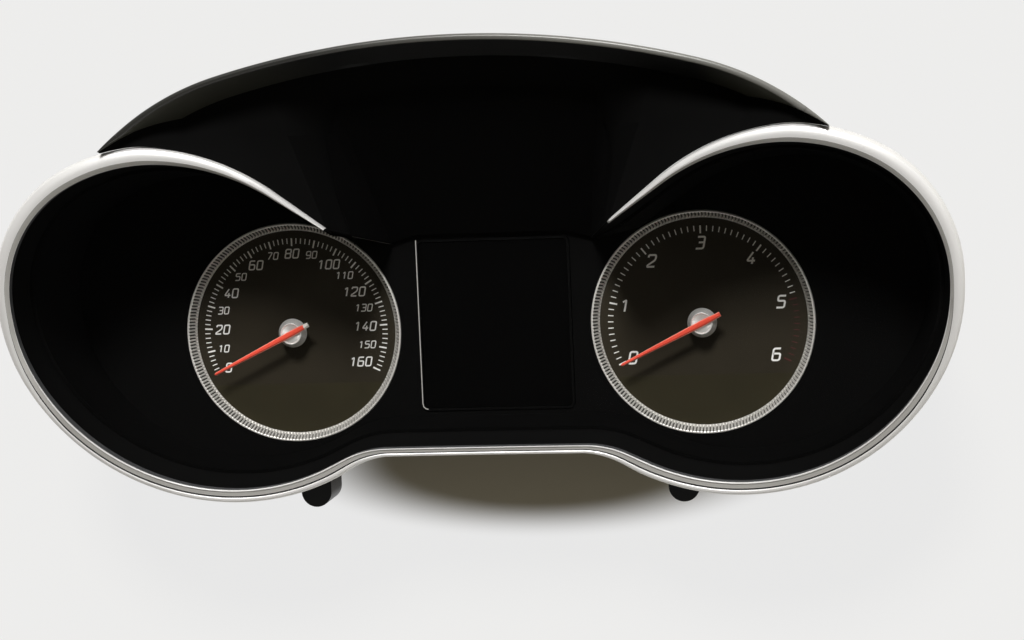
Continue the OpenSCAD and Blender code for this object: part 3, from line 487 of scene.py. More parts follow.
# %% Set the trim's sections
# From the inner to the outer edge: share of the width, and height over the front face.
LOW_SECTION = (
    (0, -6), (0, -1.0), (0.03, -0.4), (0.07, -0.2), (0.11, -0.35), (0.14, -0.75),
    (0.47, -1.0), (0.5, -1.7), (0.56, -1.7), (0.58, -0.9), (0.66, -0.75), (0.8, -0.95),
    (0.9, -1.5), (0.96, -2.4), (0.985, -3.5), (1, -6))
HIGH_SECTION = (
    (0, -6), (0, -2.6), (0.003, -2.58), (0.006, -2.56), (0.009, -2.54), (0.012, -2.52),
    (0.22, -0.72), (0.223, -0.71), (0.226, -0.7), (0.23, -0.69), (0.36, -0.42), (0.6, -0.5),
    (0.82, -1.1), (0.93, -2.1), (0.98, -3.5), (1, -6))
FLANGE, BAND, SHADE_GREY, BLACK = range(4)
# The groove, the inner wall and the underside take the painted shade grey.
TRIM_FINISHES = (SHADE_GREY, FLANGE, FLANGE, FLANGE, FLANGE, BAND, SHADE_GREY, SHADE_GREY, SHADE_GREY,
                 FLANGE, FLANGE, FLANGE, FLANGE, FLANGE, FLANGE, SHADE_GREY)
BLEND_LOW = -30
BLEND_RUN = 45
# At its end the ridge has this share of the section's depth.
RIDGE_END_DEPTH = 0.35

# %% Build the trim
# The ridges are coloured black, but on the left one the crest's end is a painted highlight.
GLINT_FROM = 0.45
GLINT_SEGMENTS = 6
trim_points = []
for p in LOOP:
    deep = lerp(1, RIDGE_END_DEPTH, p[4])
    t = share((p[1] - BLEND_LOW) / BLEND_RUN)
    for (u0, h0), (u1, h1) in zip(LOW_SECTION, HIGH_SECTION):
        x, y = out(p, lerp(u0, u1, t) * trim_width(p))
        trim_points.append(row(x, y, trim_z(p) + lerp(h0, h1, t) * deep))
faces, places = loft_faces(len(LOOP), len(LOW_SECTION))
trim = add_mesh("trim_moulding", trim_points, faces, [
    "silver_lacquer_flange_bright", "silver_lacquer_band_satin", "trim_groove_shadow_grey",
    "abs_black_inner_matt"], soft=30)
for face, (i, j) in zip(trim.data.polygons, places):
    on_ridge = LOOP[i][4] > 0
    glint = LOOP[i][0] < 0 and LOOP[i][4] > GLINT_FROM and 0 < j < GLINT_SEGMENTS
    face.material_index = BLACK if on_ridge and not glint else TRIM_FINISHES[j]
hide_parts("trim_ring")
print("trim faces:", len(trim.data.polygons))

# %% [markdown]
# ## Hood
# The hood is a thin shell that rises from the display and from the trim's blades to a long
# arc. Its edge is rounded, and inside the edge a slanted lip runs down to a crease. It could
# be a bent sheet with a thickness modifier, but that gives no lip and no true edge. Here
# each ring runs from the foot over the edge and back, so every line of the section is set.

# %% Draw the hood's edge
HOOD_TOP = 123.2
HOOD_FLAT_X = 96
HOOD_FALL = 12.9
HOOD_SEAM_X = 137
HOOD_END_X = 145.2
HOOD_T = 2.5
FOOT_GAP = 0.4
BACK = sorted(out(p, trim_width(p) + FOOT_GAP) for p in HALF if p[4] == 0 and p[1] > RING_IN)


def behind_trim(x):
    """The Y just behind the trim's blade."""
    for (x0, y0), (x1, y1) in zip(BACK, BACK[1:]):
        if x0 <= x <= x1:
            return lerp(y0, y1, (x - x0) / (x1 - x0) if x1 > x0 else 0)
    return BACK[0][1] if x < BACK[0][0] else BACK[-1][1]


# A wide arc spans the middle, and a tighter one, tangent to it, falls to either end.
HOOD_R = (HOOD_FLAT_X ** 2 + HOOD_FALL ** 2) / (2 * HOOD_FALL)
END_S = HOOD_FLAT_X / HOOD_R
END_C = math.sqrt(1 - END_S * END_S)
END_X = HOOD_END_X - HOOD_FLAT_X
END_Y = behind_trim(HOOD_END_X) + FOOT_GAP - HOOD_TOP + HOOD_FALL
HOOD_END_R = (END_X ** 2 + END_Y ** 2) / (-2 * (END_X * END_S + END_Y * END_C))
print("hood arcs:", round(HOOD_R, 1), round(HOOD_END_R, 1))


def rim(x):
    """The hood's outer edge at x: point and outward normal."""
    if x <= HOOD_FLAT_X:
        y = math.sqrt(HOOD_R ** 2 - x * x)
        return x, HOOD_TOP - HOOD_R + y, x / HOOD_R, y / HOOD_R
    dx = x - HOOD_FLAT_X + HOOD_END_R * END_S
    dy = math.sqrt(HOOD_END_R ** 2 - dx * dx)
    y = HOOD_TOP - HOOD_R + (HOOD_R - HOOD_END_R) * END_C + dy
    return x, y, dx / HOOD_END_R, dy / HOOD_END_R


# %% Set the hood's section
CREASE_INSET = 8.7
CREASE_DROP = 15
WALL_SHARE = 0.8
EDGE_DROP = 1.5
FOOT_DROP = 3.5
SNUG = 0.35
# Where foot and edge come close, crease and edge shrink over these multiples.
CREASE_FADE = 2.6
EDGE_FADE = 3
# Over the rounded edge, from outside: inset, and height over the front face.
EDGE_STEPS = ((0.1, -0.85), (0.4, -0.3), (0.85, 0.08), (1.4, 0.28), (1.9, 0.3),
              (2.3, 0.12), (2.5, -0.25))
LIP_STEPS = (0.25, 0.5, 0.75, 1.0)
ROOF_STEPS = (0.04, 0.35, 0.7)
SHELL, STRIP, LIP, INNER = range(4)
ROOF_FINISHES = ([SHELL] * 3 + [STRIP] * len(EDGE_STEPS) + [LIP] * len(LIP_STEPS)
                 + [INNER] * (len(ROOF_STEPS) + 1))

# %% Define the hood's rings
def roof(foot, brim_x):
    """One ring of the shell, from its foot up the outside, over the edge and back inside."""
    brim = rim(brim_x)
    far = math.dist(foot[:2], brim[:2])
    fold = min(1, far / (CREASE_FADE * CREASE_INSET))
    full = min(1, far / (EDGE_FADE * HOOD_T))
    crease = out(brim, -CREASE_INSET * fold)
    crease = (*crease, surf(*crease) - CREASE_DROP * fold)
    back = out(brim, (HOOD_T * WALL_SHARE - CREASE_INSET) * fold)
    ring = [row(*foot), row(*foot[:2], foot[2] - HOOD_T), row(*back, crease[2] - HOOD_T),
            row(*brim[:2], surf(*brim[:2]) - EDGE_DROP)]
    for inset, rise in EDGE_STEPS:
        edge = out(brim, -inset * full)
        ring.append(row(*edge, surf(*edge) + rise * full))
    lip = out(brim, -HOOD_T * full)
    lip = (*lip, surf(*lip) + EDGE_STEPS[-1][1] * full)
    ring += [row(*between(lip, crease, t)) for t in LIP_STEPS]
    ring += [row(*between(crease, foot, t)) for t in ROOF_STEPS]
    return ring


def blade_foot(x):
    """Where the shell stands behind the trim's blade."""
    y = behind_trim(x) - SNUG
    return x, y, surf(x, y) - FOOT_DROP


def add_shell(name, rings, node):
    """A hood piece lofted through its rings. It stands for a CAD node."""
    faces, places = loft_faces(len(rings), len(rings[0]))
    piece = add_mesh(name, [q for ring in rings for q in ring], faces, [
        "abs_black_eroded_grain", "abs_black_edge_polished_painted_reflection", "abs_black_lip_satin_painted_light",
        "abs_black_inner_matt"], soft=30)
    for face, (_, j) in zip(piece.data.polygons, places):
        face.material_index = ROOF_FINISHES[j]
    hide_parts(node)


def mirrored(rings):
    """The same rings on the left."""
    return [[Vector((-q.x, q.y, q.z)) for q in ring] for ring in rings]


# %% Build the hood
# The rings fan out from the display, climb the ridge to the tip and then follow the blade.
FAN_STEPS = 12
FAN_START_X = 50
FAN_CORNER_X = 56
FAN_TIP_X = 80
BLADE_STEPS = 56
THROAT_X = 34.5
DISPLAY_TOP = 38.2
THROAT_GAP = 2.3
ridge = [p for p in HALF if p[4] > 0][::-1] + [TIP]
tip_foot = out(TIP, TIP_W + FOOT_GAP)
ROOF = []
for k in range(FAN_STEPS):
    t = k / FAN_STEPS
    foot = (THROAT_X * t, DISPLAY_TOP + THROAT_GAP, FLOOR_Z + HOOD_T)
    ROOF.append(roof(foot, t * FAN_START_X))
for p in ridge:
    x, y = out(p, trim_width(p) + FOOT_GAP - SNUG)
    z = lerp(TIP_Z - FOOT_DROP, FLOOR_Z + HOOD_T, p[4])
    ROOF.append(roof((x, y, z), lerp(FAN_TIP_X, FAN_CORNER_X, p[4])))
for k in range(1, BLADE_STEPS + 1):
    t = k / BLADE_STEPS
    ROOF.append(roof(blade_foot(lerp(tip_foot[0], HOOD_SEAM_X, t)),
                     lerp(FAN_TIP_X, HOOD_SEAM_X, t)))
add_shell("hood_shell", mirrored(ROOF[:0:-1]) + ROOF, "hood")
print("hood rings:", 2 * len(ROOF) - 1)

# %% [markdown]
# Beyond a seam, a small end piece carries the hood's edge down to the trim. It is a separate
# moulding, and a tongue on it reaches under the hood, so the seam shows as a dark line and no
# light comes through. The seam could be a painted line, but a real step shades itself right.

# %% Build the hood's end pieces
SEAM_GAP = 0.3
HAIR = 0.01
END_STEPS = 10
TONGUE_REACH = 0.8
TONGUE_BACK = Vector((0, 0, -0.4)) * MM
END_RINGS = []
for x in (HOOD_SEAM_X - TONGUE_REACH, HOOD_SEAM_X + SEAM_GAP - HAIR):
    END_RINGS.append([q + TONGUE_BACK for q in roof(blade_foot(x), x)])
for k in range(END_STEPS + 1):
    x = lerp(HOOD_SEAM_X + SEAM_GAP, HOOD_END_X, k / END_STEPS)
    END_RINGS.append(roof(blade_foot(x), x))
add_shell("hood_end_piece_right", END_RINGS, "hood_end_right")
add_shell("hood_end_piece_left", mirrored(END_RINGS[::-1]), "hood_end_left")
print("end rings:", len(END_RINGS))

# %% [markdown]
# ## Knurled rings
# A plated ring stands round each dial. Its sloping face is knurled: fine straight ribs run
# up the slope. They could be bump in the material, but only real faces glint one by one. So
# they are cut into the ring's own surface, with flat tops and narrow valleys.

# %% Build the knurled rings
RIBS = 200
# Steps of one rib round the ring: 0 in the valley, 1 on the top.
RIB_WAVE = (0, 0, 1, 1, 1, 1)
RIB_DEPTH = 0.55
VALLEY_SEGMENTS = (3, 4)
RING_PROFILE = (
    (RING_IN, 0, 0), (RING_IN, 0.5, 0), (RING_IN + 0.2, 0.8, 0.3), (RING_IN + 0.4, 1.2, 1),
    (RING_OUT - 1.2, 4.1, 1), (RING_OUT - 0.95, 4.6, 0.3), (RING_OUT - 0.7, 4.85, 0),
    (RING_OUT - 0.1, 4.9, 0), (RING_OUT, 4.8, 0), (RING_OUT, 2.3, 0), (RING_OUT + 1.5, 2.3, 0),
    (RING_OUT + 1.5, 0, 0))


def valley(i):
    """How far the slope is cut back at a step round the ring."""
    return RIB_DEPTH * (1 - RIB_WAVE[i % len(RIB_WAVE)])


# Faces deep in each valley take the painted shade.
for gauge, cx in GAUGES:
    ring = lathe(gauge + "_knurled_ring", cx, RING_PROFILE, RIBS * len(RIB_WAVE),
                 ["plated_ring_satin", "plated_ring_valley_painted_shade"], cut_at=valley, soft=50)
    for k, face in enumerate(ring.data.polygons):
        step, segment = divmod(k, len(RING_PROFILE))
        low = RIB_WAVE[step % len(RIB_WAVE)] == 0
        face.material_index = 1 if low and segment in VALLEY_SEGMENTS else 0
    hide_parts(gauge + "_ring")
print("ribs on each ring:", RIBS)

# %% [markdown]
# ## Smoked windows
# Below a straight line across each dial, the film is left translucent, so that warning lamps
# can shine through. Unlit, the window shows only as a smoother, slightly paler segment. It
# could be a mask in the dial's material. A thin skin has a sharper edge, as the film has.

# %% Lay the smoked windows
WINDOW_Y = -22.5
WINDOW_R = 43.4
WINDOW_T = 0.03
WINDOW_STEPS = 64
for gauge, cx in GAUGES:
    start = math.asin(WINDOW_Y / WINDOW_R)
    rim_points = []
    for k in range(WINDOW_STEPS + 1):
        a = lerp(math.pi - start, 2 * math.pi + start, k / WINDOW_STEPS)
        rim_points.append((WINDOW_R * math.cos(a), WINDOW_R * math.sin(a)))
    n = len(rim_points)
    points = [row(cx + x, y, DIAL_Z + z) for z in (0, WINDOW_T) for x, y in rim_points]
    faces = [tuple(range(n - 1, -1, -1)), tuple(range(n, 2 * n))]
    faces += [(k, (k + 1) % n, n + (k + 1) % n, n + k) for k in range(n)]
    window = add_mesh(gauge + "_warning_window", points, faces,
                      ["window_film_smoked_gloss"], soft=20)
print("window points:", n)

# %% [markdown]
# ## Numerals and ticks
# The dial is a printed film. White ink stands on it in ticks and numerals. A font could set
# the numerals, but it would bring another maker's shapes. So each is drawn as a pen would
# draw it: centre lines with rounded corners, as wide as one stroke.

# %% Draw the numerals
# A numeral is 1 high and W wide. Each of its lines is a row of points, and whether it closes.
W = 0.62
GLYPHS = {
    "0": [(((0, 0), (0, 1), (W, 1), (W, 0)), True)],
    "1": [(((0.1, 0.8), (0.36, 1), (0.36, 0)), False)],
    "2": [(((0, 0.8), (0, 1), (W, 1), (W, 0.58), (0, 0.12), (0, 0), (W, 0)), False)],
    "3": [(((0, 1), (W, 1), (W, 0), (-0.02, 0)), False), (((0.15, 0.52), (W, 0.52)), False)],
    "4": [(((0.42, 1), (0, 0.27), (W + 0.06, 0.27)), False), (((0.47, 0.55), (0.47, 0)), False)],
    "5": [(((W, 1), (0, 1), (0, 0.57), (W, 0.57), (W, 0), (-0.02, 0)), False)],
    "6": [(((0.95 * W, 1), (0, 1), (0, 0), (W, 0), (W, 0.57), (0, 0.57)), False)],
    "7": [(((0, 1), (W, 1), (0.18, 0)), False)],
    "8": [(((0, 0.53), (0, 1), (W, 1), (W, 0.53)), True), (((0, 0), (0, 0.53), (W, 0.53),
          (W, 0)), True)],
    "9": [(((0.03, 0), (W, 0), (W, 1), (0, 1), (0, 0.43), (W, 0.43)), False)],
}
print("numerals:", len(GLYPHS))

# %% Define the pen
CORNER = 0.17
CORNER_REACH = 0.48
CORNER_STEPS = 4
MITRE_LIMIT = 0.5
INK_LOW = 0.01
INK_TOP = 0.06


def rounded(points, closed):
    """The centre line with a small arc at each corner."""
    path = []
    n = len(points)
    for i, p in enumerate(points):
        if not closed and i in (0, n - 1):
            path.append(Vector(p))
            continue
        p = Vector(p)
        before = Vector(points[i - 1]) - p
        after = Vector(points[(i + 1) % n]) - p
        d = min(CORNER, before.length * CORNER_REACH, after.length * CORNER_REACH)
        a = p + before.normalized() * d
        b = p + after.normalized() * d
        for k in range(CORNER_STEPS + 1):
            t = k / CORNER_STEPS
            path.append(a * (1 - t) ** 2 + p * 2 * t * (1 - t) + b * t * t)
    return path


def ribbon(path, closed, width, place, top, points, faces, low=INK_LOW):
    """Adds a closed flat solid along a path: its top, its underside and its side walls."""
    n = len(path)
    start = len(points)
    for i, p in enumerate(path):
        q = path[(i + 1) % n] if closed or i < n - 1 else p
        o = path[i - 1] if closed or i > 0 else p
        u = (q - p).normalized() if (q - p).length else (p - o).normalized()
        v = (p - o).normalized() if (p - o).length else u
        m = Vector((-(u + v).y, (u + v).x)).normalized()
        reach = width / 2 / max(MITRE_LIMIT, m.dot(Vector((-u.y, u.x))))
        for side, level in ((1, top), (-1, top), (-1, low), (1, low)):
            points.append(place(p + m * reach * side, level))
    for i in range(n if closed else n - 1):
        a = start + 4 * i
        b = start + 4 * ((i + 1) % n)
        for j in range(4):
            k = (j + 1) % 4
            faces.append((a + j, b + j, b + k, a + k))
    if not closed:
        faces.append(tuple(start + j for j in range(4)))
        faces.append(tuple(start + 4 * (n - 1) + j for j in (3, 2, 1, 0)))


# %% Define numbers and ticks
PEN = 0.165
SLANT = math.tan(math.radians(12))
GLYPH_GAP = 0.3
# A numeral's second line lies a hair higher, so that two tops never share a place.
LINE_RISE = 0.01


def number_width(text):
    """Width of a number whose numerals are 1 high."""
    return (W + GLYPH_GAP) * (len(text) - 1) + W


def add_number(text, x, y, size, cx, points, faces):
    """Adds a number centred at x, y of the dial, upright and slanted."""
    for i, glyph in enumerate(text):
        left = i * (W + GLYPH_GAP) - number_width(text) / 2
        for level, (line, closed) in enumerate(GLYPHS[glyph]):
            def place(p, z, left=left, level=level):
                u = (left + p.x + (p.y - 0.5) * SLANT) * size
                v = (p.y - 0.5) * size
                rise = LINE_RISE * level if z > INK_LOW else 0
                return row(cx + x + u, y + v, DIAL_Z + z + rise)
            ribbon(rounded(line, closed), closed, PEN, place, INK_TOP, points, faces)


def add_tick(angle, r0, r1, width, cx, points, faces):
    """Adds a radial tick."""
    a = math.radians(angle)
    along = Vector((math.cos(a), math.sin(a)))

    def place(p, z):
        return row(cx + p.x, p.y, DIAL_Z + z)
    ribbon([along * r0, along * r1], False, width, place, INK_TOP, points, faces)


# %% Set the scales
MAJOR_EVERY = 10
BIG_EVERY = 20
MAJOR_LEN = 3.3
MINOR_LEN = 2.3
MAJOR_W = 0.68
MINOR_W = 0.42
NUMBER_GAP = 1.15
# Slant and stroke make a number reach this much further than its centre lines.
SPARE_X = 0.6
SPARE_Y = 0.3
# Last value, value per tick, last value in white, value of a numeral's 1, and heights.
PRINTS = {
    "speed": {"top": 160, "tick": 2, "white_to": 160, "unit": 1, "big": 3.7, "small": 2.9},
    "tach": {"top": 60, "tick": 1, "white_to": 49, "unit": 10, "big": 4.9, "small": 4.9},
}


def dial_angle(value, top):
    """Angle of a value on its scale, in degrees from +X."""
    return ZERO - SWEEP * value / top


# %% Print the dials
for gauge, cx in GAUGES:
    spec = PRINTS[gauge]
    marks = {"white": ([], []), "red": ([], [])}
    for value in range(0, spec["top"] + 1, spec["tick"]):
        points, faces = marks["white" if value <= spec["white_to"] else "red"]
        major = value % MAJOR_EVERY == 0
        add_tick(dial_angle(value, spec["top"]), SCALE_R - (MAJOR_LEN if major else MINOR_LEN),
                 SCALE_R, MAJOR_W if major else MINOR_W, cx, points, faces)
    points, faces = marks["white"]
    for value in range(0, spec["top"] + 1, MAJOR_EVERY):
        a = math.radians(dial_angle(value, spec["top"]))
        text = str(value // spec["unit"])
        size = spec["big" if value % BIG_EVERY == 0 else "small"]
        half_w = size * number_width(text) / 2 + SPARE_X
        half_h = size / 2 + SPARE_Y
        reach = math.hypot(half_w * math.cos(a), half_h * math.sin(a))
        r = SCALE_R - MAJOR_LEN - NUMBER_GAP - reach
        add_number(text, r * math.cos(a), r * math.sin(a), size, cx, points, faces)
    for ink in ("white", "red"):
        points, faces = marks[ink]
        if points:
            piece = add_mesh(gauge + "_dial_print_" + ink, points, faces,
                             ["print_" + ink + "_screen_ink"], soft=20)
            print(piece.name, "faces:", len(piece.data.polygons))

# %% [markdown]
# ## Display edge
# The display's frame is black. Along its left edge lies a thin bright strip, a painted
# highlight that turns in at its lower end. It could be a lighter edge in the frame's
# material, but a narrow strip keeps its width from end to end, as the line of light does.

# %% Lay the bright edge
EDGE_W = 0.36
EDGE_Z = FLOOR_Z + 0.61
EDGE_T = 0.12
EDGE_LINE = ((-32.5, 38.0), (-32.5, -31.6), (-32.2, -33.0), (-31.2, -33.9), (-30.2, -34.1))
# This strip is a painted highlight beside the black frame.
points = []
faces = []
ribbon([Vector(p) for p in EDGE_LINE], False, EDGE_W, lambda p, z: row(p.x, p.y, z),
       EDGE_Z + EDGE_T, points, faces, EDGE_Z)
edge = add_mesh("display_edge_painted_highlight", points, faces, ["plated_ring_satin"], soft=20)
print("bright edge faces:", len(faces))

# %% [markdown]
# ## Pointers and caps
# A pointer is a moulded blade of coral-red plastic with a low roof-shaped section, so its
# two flanks catch the light. A scaled box would look flat. A loft through a few stations
# tapers the real section to the tip. The cap is a spun aluminium cup with a raised rim, and
# a lathe makes it as it is really made.

# %% Build the pointers
CAP_RISE = 9.5
POINTER_T = 1.2
POINTER_LEN = 0.95 * SCALE_R
TAIL = 8.8
TAIL_BLOCK = 2.2
BLADE_W = 2.7
# The section: share of the half width, and height.
BLADE_SECTION = ((-1, 0), (-1, 0.55), (-0.78, 0.72), (-0.45, POINTER_T - 0.1), (0, POINTER_T),
                 (0.45, POINTER_T - 0.1), (0.78, 0.72), (1, 0.55), (1, 0))
# The stations: place along the blade, and half width as a share of the blade's width.
BLADE_STATIONS = ((-TAIL, 0.38), (-TAIL + TAIL_BLOCK, 0.4), (-TAIL * 0.5, 0.45), (0, 0.5),
                  (POINTER_LEN * 0.5, 0.37), (POINTER_LEN - 1, 0.24), (POINTER_LEN - 0.3, 0.12))
CORAL, EDGE, TAIL_HIGHLIGHT = range(3)
BLADE_FINISHES = (EDGE, EDGE, CORAL, CORAL, CORAL, CORAL, EDGE, EDGE, CORAL)
a = math.radians(ZERO)
# The speed pointer's tail block takes the painted highlight.
for gauge, cx in GAUGES:
    points = []
    for s, half in BLADE_STATIONS:
        for v, z in BLADE_SECTION:
            x = s * math.cos(a) - v * half * BLADE_W * math.sin(a)
            y = s * math.sin(a) + v * half * BLADE_W * math.cos(a)
            points.append(row(cx + x, y, DIAL_Z + CAP_RISE + z))
    faces, places = loft_faces(len(BLADE_STATIONS), len(BLADE_SECTION))
    pointer = add_mesh(gauge + "_pointer_blade", points, faces, [
        "pmma_coral_pointer", "pmma_coral_pointer_edge", "pmma_pointer_tail_painted_highlight"],
        gauge + "_needle", soft=25)
    for face, (i, j) in zip(pointer.data.polygons, places):
        pale = i == 0 and gauge == "speed"
        face.material_index = TAIL_HIGHLIGHT if pale else BLADE_FINISHES[j]
    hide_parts(gauge + "_pointer")
print("pointer length:", round(TAIL + POINTER_LEN, 1))

# %% Build the caps
CAP_LOW = CAP_RISE - 4
CAP_STEPS = 96
CAP_PROFILE = (
    (0.01, CAP_LOW, 0), (6.0, CAP_LOW, 0), (6.2, CAP_LOW + 0.2, 0), (6.0, CAP_LOW + 0.7, 0),
    (4.75, CAP_RISE - 0.7, 0), (4.6, CAP_RISE - 0.25, 0), (4.5, CAP_RISE - 0.04, 0),
    (4.4, CAP_RISE, 0), (4.2, CAP_RISE, 0), (4.05, CAP_RISE - 0.12, 0),
    (3.9, CAP_RISE - 0.45, 0), (2.6, CAP_RISE - 0.4, 0), (0.01, CAP_RISE - 0.35, 0))
DISC_FROM = 9
for gauge, cx in GAUGES:
    cap = lathe(gauge + "_spun_cap", cx, CAP_PROFILE, CAP_STEPS,
                ["turned_aluminium_rim", "spun_aluminium_cap"], gauge + "_needle", soft=30)
    for k, face in enumerate(cap.data.polygons):
        face.material_index = 1 if k % len(CAP_PROFILE) >= DISC_FROM else 0
    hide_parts(gauge + "_pointer_cap")
print("cap faces:", len(cap.data.polygons))

# %% [markdown]
# ## CAD nodes
# Every other piece keeps its CAD shape and gets its material. Nearly all of them lie inside
# the housing, where they show only when the cluster is opened, so finer meshes would be
# wasted on them. Their meshes come as loose facets: a weld joins them for smooth shading,
# and a split keeps their real edges crisp.

# %% Choose the CAD nodes' materials
# A material's nodes: those that are there once, and those that each gauge has.
ONCE = {
    "abs_black_eroded_grain": "hood hood_end_left hood_end_right",
    "silver_lacquer_band_satin": "trim_ring",
    "pmma_clear_coated_lens": "front_lens",
    "abs_black_inner_matt": "front_mask",
    "pp_black_housing_talc_filled": "housing rear_cover",
    "display_frame_black_anodised": "display_frame",
    "display_glass_black_coated": "display_glass",
    "display_cell_tinted": "display_panel",
    "abs_white_light_box": "display_backlight",
    "polyimide_flex_amber": "display_flex",
    "fr4_green_solder_mask": "main_board",
    "epoxy_black_chip": "microcontroller memory_chip regulator",
    "aluminium_capacitor_can": "capacitors",
    "pbt_black_connector": "buzzer connector_shell",
    "pom_ivory_gear_moulded": "dial_leds",
    "gold_plated_pin": "connector_pins",
    "zinc_plated_steel_screw": "cover_screws board_screws frame_screws hood_screws",
}
PER_GAUGE = {
    "plated_ring_satin": "ring",
    "pmma_coral_pointer": "pointer",
    "spun_aluminium_cap": "pointer_cap",
    "abs_black_inner_matt": "pointer_hub",
    "dial_film_smoked_matt": "dial",
    "pmma_clear_light_guide": "light_guide",
    "abs_white_light_box": "light_box",
    "pbt_ivory_motor_case": "motor_case motor_lid",
    "enamelled_copper_winding": "motor_coils",
    "electrical_iron_stator": "motor_stator",
    "ferrite_magnet_sintered": "rotor",
    "pom_ivory_gear_moulded": "idler_gear output_gear",
}
BY_NODE = {name: coat for coat, names in ONCE.items() for name in names.split()}
for coat, names in PER_GAUGE.items():
    for name in names.split():
        for gauge, _ in GAUGES:
            BY_NODE[gauge + "_" + name] = coat
print("nodes with a material:", len(BY_NODE))

# %% Dress the CAD nodes
CRISP_ANGLE = math.radians(35)
WELD_MM = 0.002
for name, node in nodes.items():
    node.data.materials.clear()
    node.data.materials.append(MATERIALS[BY_NODE[name]])
    node.data.polygons.foreach_set("use_smooth", [True] * len(node.data.polygons))
    weld = node.modifiers.new("weld", "WELD")
    weld.merge_threshold = WELD_MM * MM
    split = node.modifiers.new("split", "EDGE_SPLIT")
    split.split_angle = CRISP_ANGLE
print("dressed nodes:", len(nodes))

# %% [markdown]
# ## Floor
# A plain pale floor carries the cluster. Lamps strong enough to make it this pale would wash
# out the object. So the camera sees an even pale sheet, and real paint only below the
# straight edge, where the photograph has the cluster's shadow.

# %% Lay the floor
FLOOR_HALF = 3
floor_mesh = bpy.data.meshes.new("pale_floor")
corners = [(x * FLOOR_HALF, y * FLOOR_HALF, 0) for x, y in ((-1, -1), (1, -1), (1, 1), (-1, 1))]
floor_mesh.from_pydata(corners, [], [(0, 1, 2, 3)])
floor = add_object("pale_floor", floor_mesh)
# Matt paint shows the shadow softly and has no gloss.
tree, shader = finish("painted_table_matt", "EEEADC", "EAE6D6", 2.0, 0.01, 0.85, 0.95,
                      Specular_IOR_Level=0.0)
floor_mesh.materials.append(MATERIALS["painted_table_matt"])
print("floor side:", 2 * FLOOR_HALF)

# %% Blend in the pale sheet round the shadow
SHEET = "EEEEEE"
SHEET_SHARE = 0.93
SHADOW_AT = (12, -60)
SHADOW_HALF = (92, 29)
SHADOW_FADE = (0.72, 1.3)
place = add_node(tree, "ShaderNodeTexCoord")
centre = row(*SHADOW_AT, 0)
scale = [1 / (half * MM) for half in SHADOW_HALF]
ellipse = add_node(tree, "ShaderNodeMapping", {
    "Vector": place.outputs["Object"], "Scale": (*scale, 0),
    "Location": (-centre.x * scale[0], -centre.y * scale[1], 0)})
length = add_node(tree, "ShaderNodeVectorMath", {0: ellipse.outputs["Vector"]},
                  operation="LENGTH")
outside = add_node(tree, "ShaderNodeMapRange", {
    "Value": length.outputs["Value"], "From Min": SHADOW_FADE[0], "From Max": SHADOW_FADE[1],
    "To Min": 0.0, "To Max": SHEET_SHARE}, interpolation_type="SMOOTHSTEP")
path = add_node(tree, "ShaderNodeLightPath")
seen = add_node(tree, "ShaderNodeMath", {
    0: path.outputs["Is Camera Ray"], 1: path.outputs["Is Glossy Ray"]}, operation="MAXIMUM")
amount = add_node(tree, "ShaderNodeMath", {
    0: seen.outputs["Value"], 1: outside.outputs["Result"]}, operation="MULTIPLY")
sheet = add_node(tree, "ShaderNodeEmission", {"Color": linear(SHEET), "Strength": 1.0})
mix = add_node(tree, "ShaderNodeMixShader", {
    0: amount.outputs["Value"], 1: shader.outputs["BSDF"], 2: sheet.outputs["Emission"]})
tree.links.new(mix.outputs["Shader"], tree.nodes["Material Output"].inputs["Surface"])

# %% [markdown]
# ## Light
# The main lamp stands behind the hood, as the window does in the photograph, so the blades
# and the hood shade the upper halves of the sunk dials. Two weak ones, at the side and low
# behind, only draw the edges. Area lamps would do too, but suns need no placing. With the
# warm sky they light a level surface so that a colour renders about as it is written. Gloss
# sees a pale room, dark overhead.

# %% Set the lamps
SUN_TINT = (1.0, 0.985, 0.965)
# Azimuth from +X towards +Y, elevation, strength, and spread. Angles are in degrees.
LAMPS = {
    "window_light_behind": (92, 47, 3.0, 14),
    "window_light_right": (24, 36, 0.3, 18),
    "window_light_low": (80, 26, 0.4, 12),
}
for name, (azimuth, elevation, energy, spread) in LAMPS.items():
    sun = bpy.data.lights.new(name, "SUN")
    sun.energy = energy
    sun.angle = math.radians(spread)
    sun.color = SUN_TINT
    a = math.radians(azimuth)
    e = math.radians(elevation)
    towards = Vector((math.cos(e) * math.cos(a), math.cos(e) * math.sin(a), math.sin(e)))
    add_object(name, sun).rotation_euler = towards.to_track_quat("Z", "Y").to_euler()
print("lamps:", len(LAMPS))

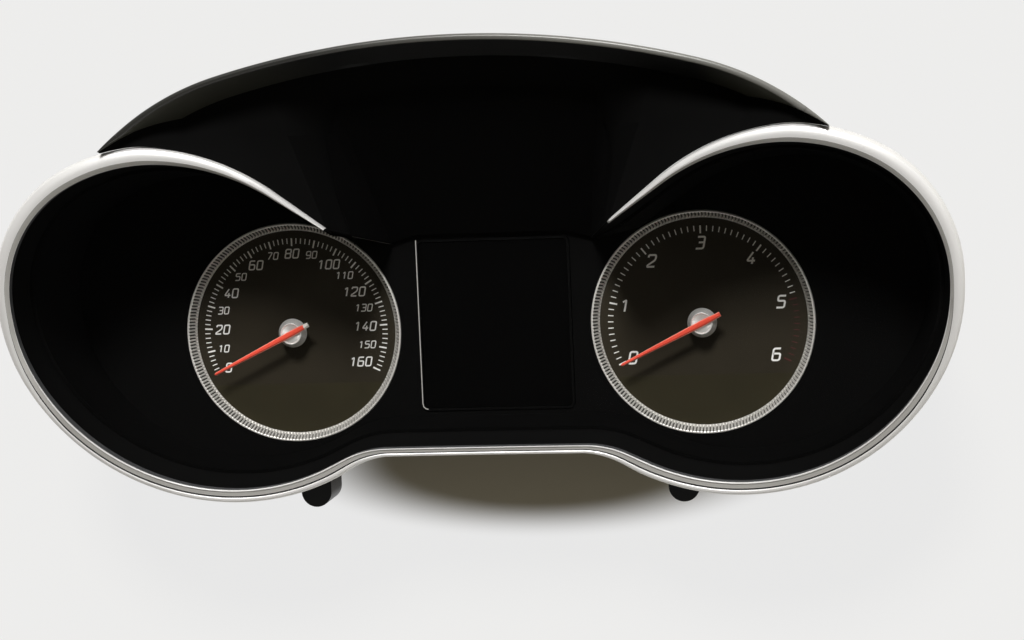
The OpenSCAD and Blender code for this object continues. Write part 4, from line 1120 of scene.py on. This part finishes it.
# %% Set the room
FILL_LEVEL = 0.14
SIDE_LEVEL = 0.8
OVERHEAD_LEVEL = 0.08
LEFT_SHARE = 0.35
world = bpy.data.worlds.new("studio_room")
bpy.context.scene.world = world
world.use_nodes = True
tree = world.node_tree
tree.nodes.clear()
path = add_node(tree, "ShaderNodeLightPath")
place = add_node(tree, "ShaderNodeTexCoord")
sides = add_node(tree, "ShaderNodeSeparateXYZ", {"Vector": place.outputs["Generated"]})
overhead = add_node(tree, "ShaderNodeMapRange", {
    "Value": sides.outputs["Z"], "From Min": 0.8, "From Max": 0.95, "To Min": SIDE_LEVEL,
    "To Max": OVERHEAD_LEVEL})
towards_left = add_node(tree, "ShaderNodeMapRange", {
    "Value": sides.outputs["X"], "From Min": -0.7, "From Max": 0.5, "To Min": LEFT_SHARE,
    "To Max": 1.0})
level = add_node(tree, "ShaderNodeMath", {
    0: overhead.outputs["Result"], 1: towards_left.outputs["Result"]}, operation="MULTIPLY")
room = add_node(tree, "ShaderNodeBackground", {
    "Color": linear("F4F2EE"), "Strength": level.outputs["Value"]})
fill = add_node(tree, "ShaderNodeBackground", {
    "Color": linear("F5EAD4"), "Strength": FILL_LEVEL})
sheet = add_node(tree, "ShaderNodeBackground", {"Color": linear(SHEET), "Strength": 1.0})
lit = add_node(tree, "ShaderNodeMixShader", {
    0: path.outputs["Is Glossy Ray"], 1: fill.outputs["Background"],
    2: room.outputs["Background"]})
seen = add_node(tree, "ShaderNodeMath", {
    0: path.outputs["Is Camera Ray"], 1: path.outputs["Is Transmission Ray"]},
    operation="MAXIMUM")
mix = add_node(tree, "ShaderNodeMixShader", {
    0: seen.outputs["Value"], 1: lit.outputs["Shader"], 2: sheet.outputs["Background"]})
add_node(tree, "ShaderNodeOutputWorld", {"Surface": mix.outputs["Shader"]})
bpy.context.scene.view_settings.view_transform = "Standard"
print("room nodes:", len(tree.nodes))

# %% [markdown]
# ## Camera
# The camera stands above the right half and looks slightly to the left and down. It could
# be placed by eye, but small errors would bend the outline. Its place and lens were fitted
# to the dials' ticks and to the trim, which is mirror-symmetric.

# %% Place the camera
TURNS = (0.101, -0.161, 0.026)
CAMERA_AT = Vector((183.05, 87.5, 1113.47)) * MM
SENSOR_WIDTH = 36
PHOTO_WIDTH = 1024
FOCAL_PIXELS = 2600
camera = bpy.data.cameras.new("photo_camera")
camera.sensor_width = SENSOR_WIDTH
camera.lens = camera.sensor_width * FOCAL_PIXELS / PHOTO_WIDTH
camera_object = add_object("photo_camera", camera)
to_camera = (Matrix.Rotation(TURNS[2], 4, "Z") @ Matrix.Rotation(TURNS[1], 4, "Y")
             @ Matrix.Rotation(TURNS[0], 4, "X"))
camera_object.matrix_world = Matrix.Translation(CAMERA_AT) @ to_camera.transposed()
bpy.context.scene.camera = camera_object
print("lens in millimetres:", round(camera.lens, 1))
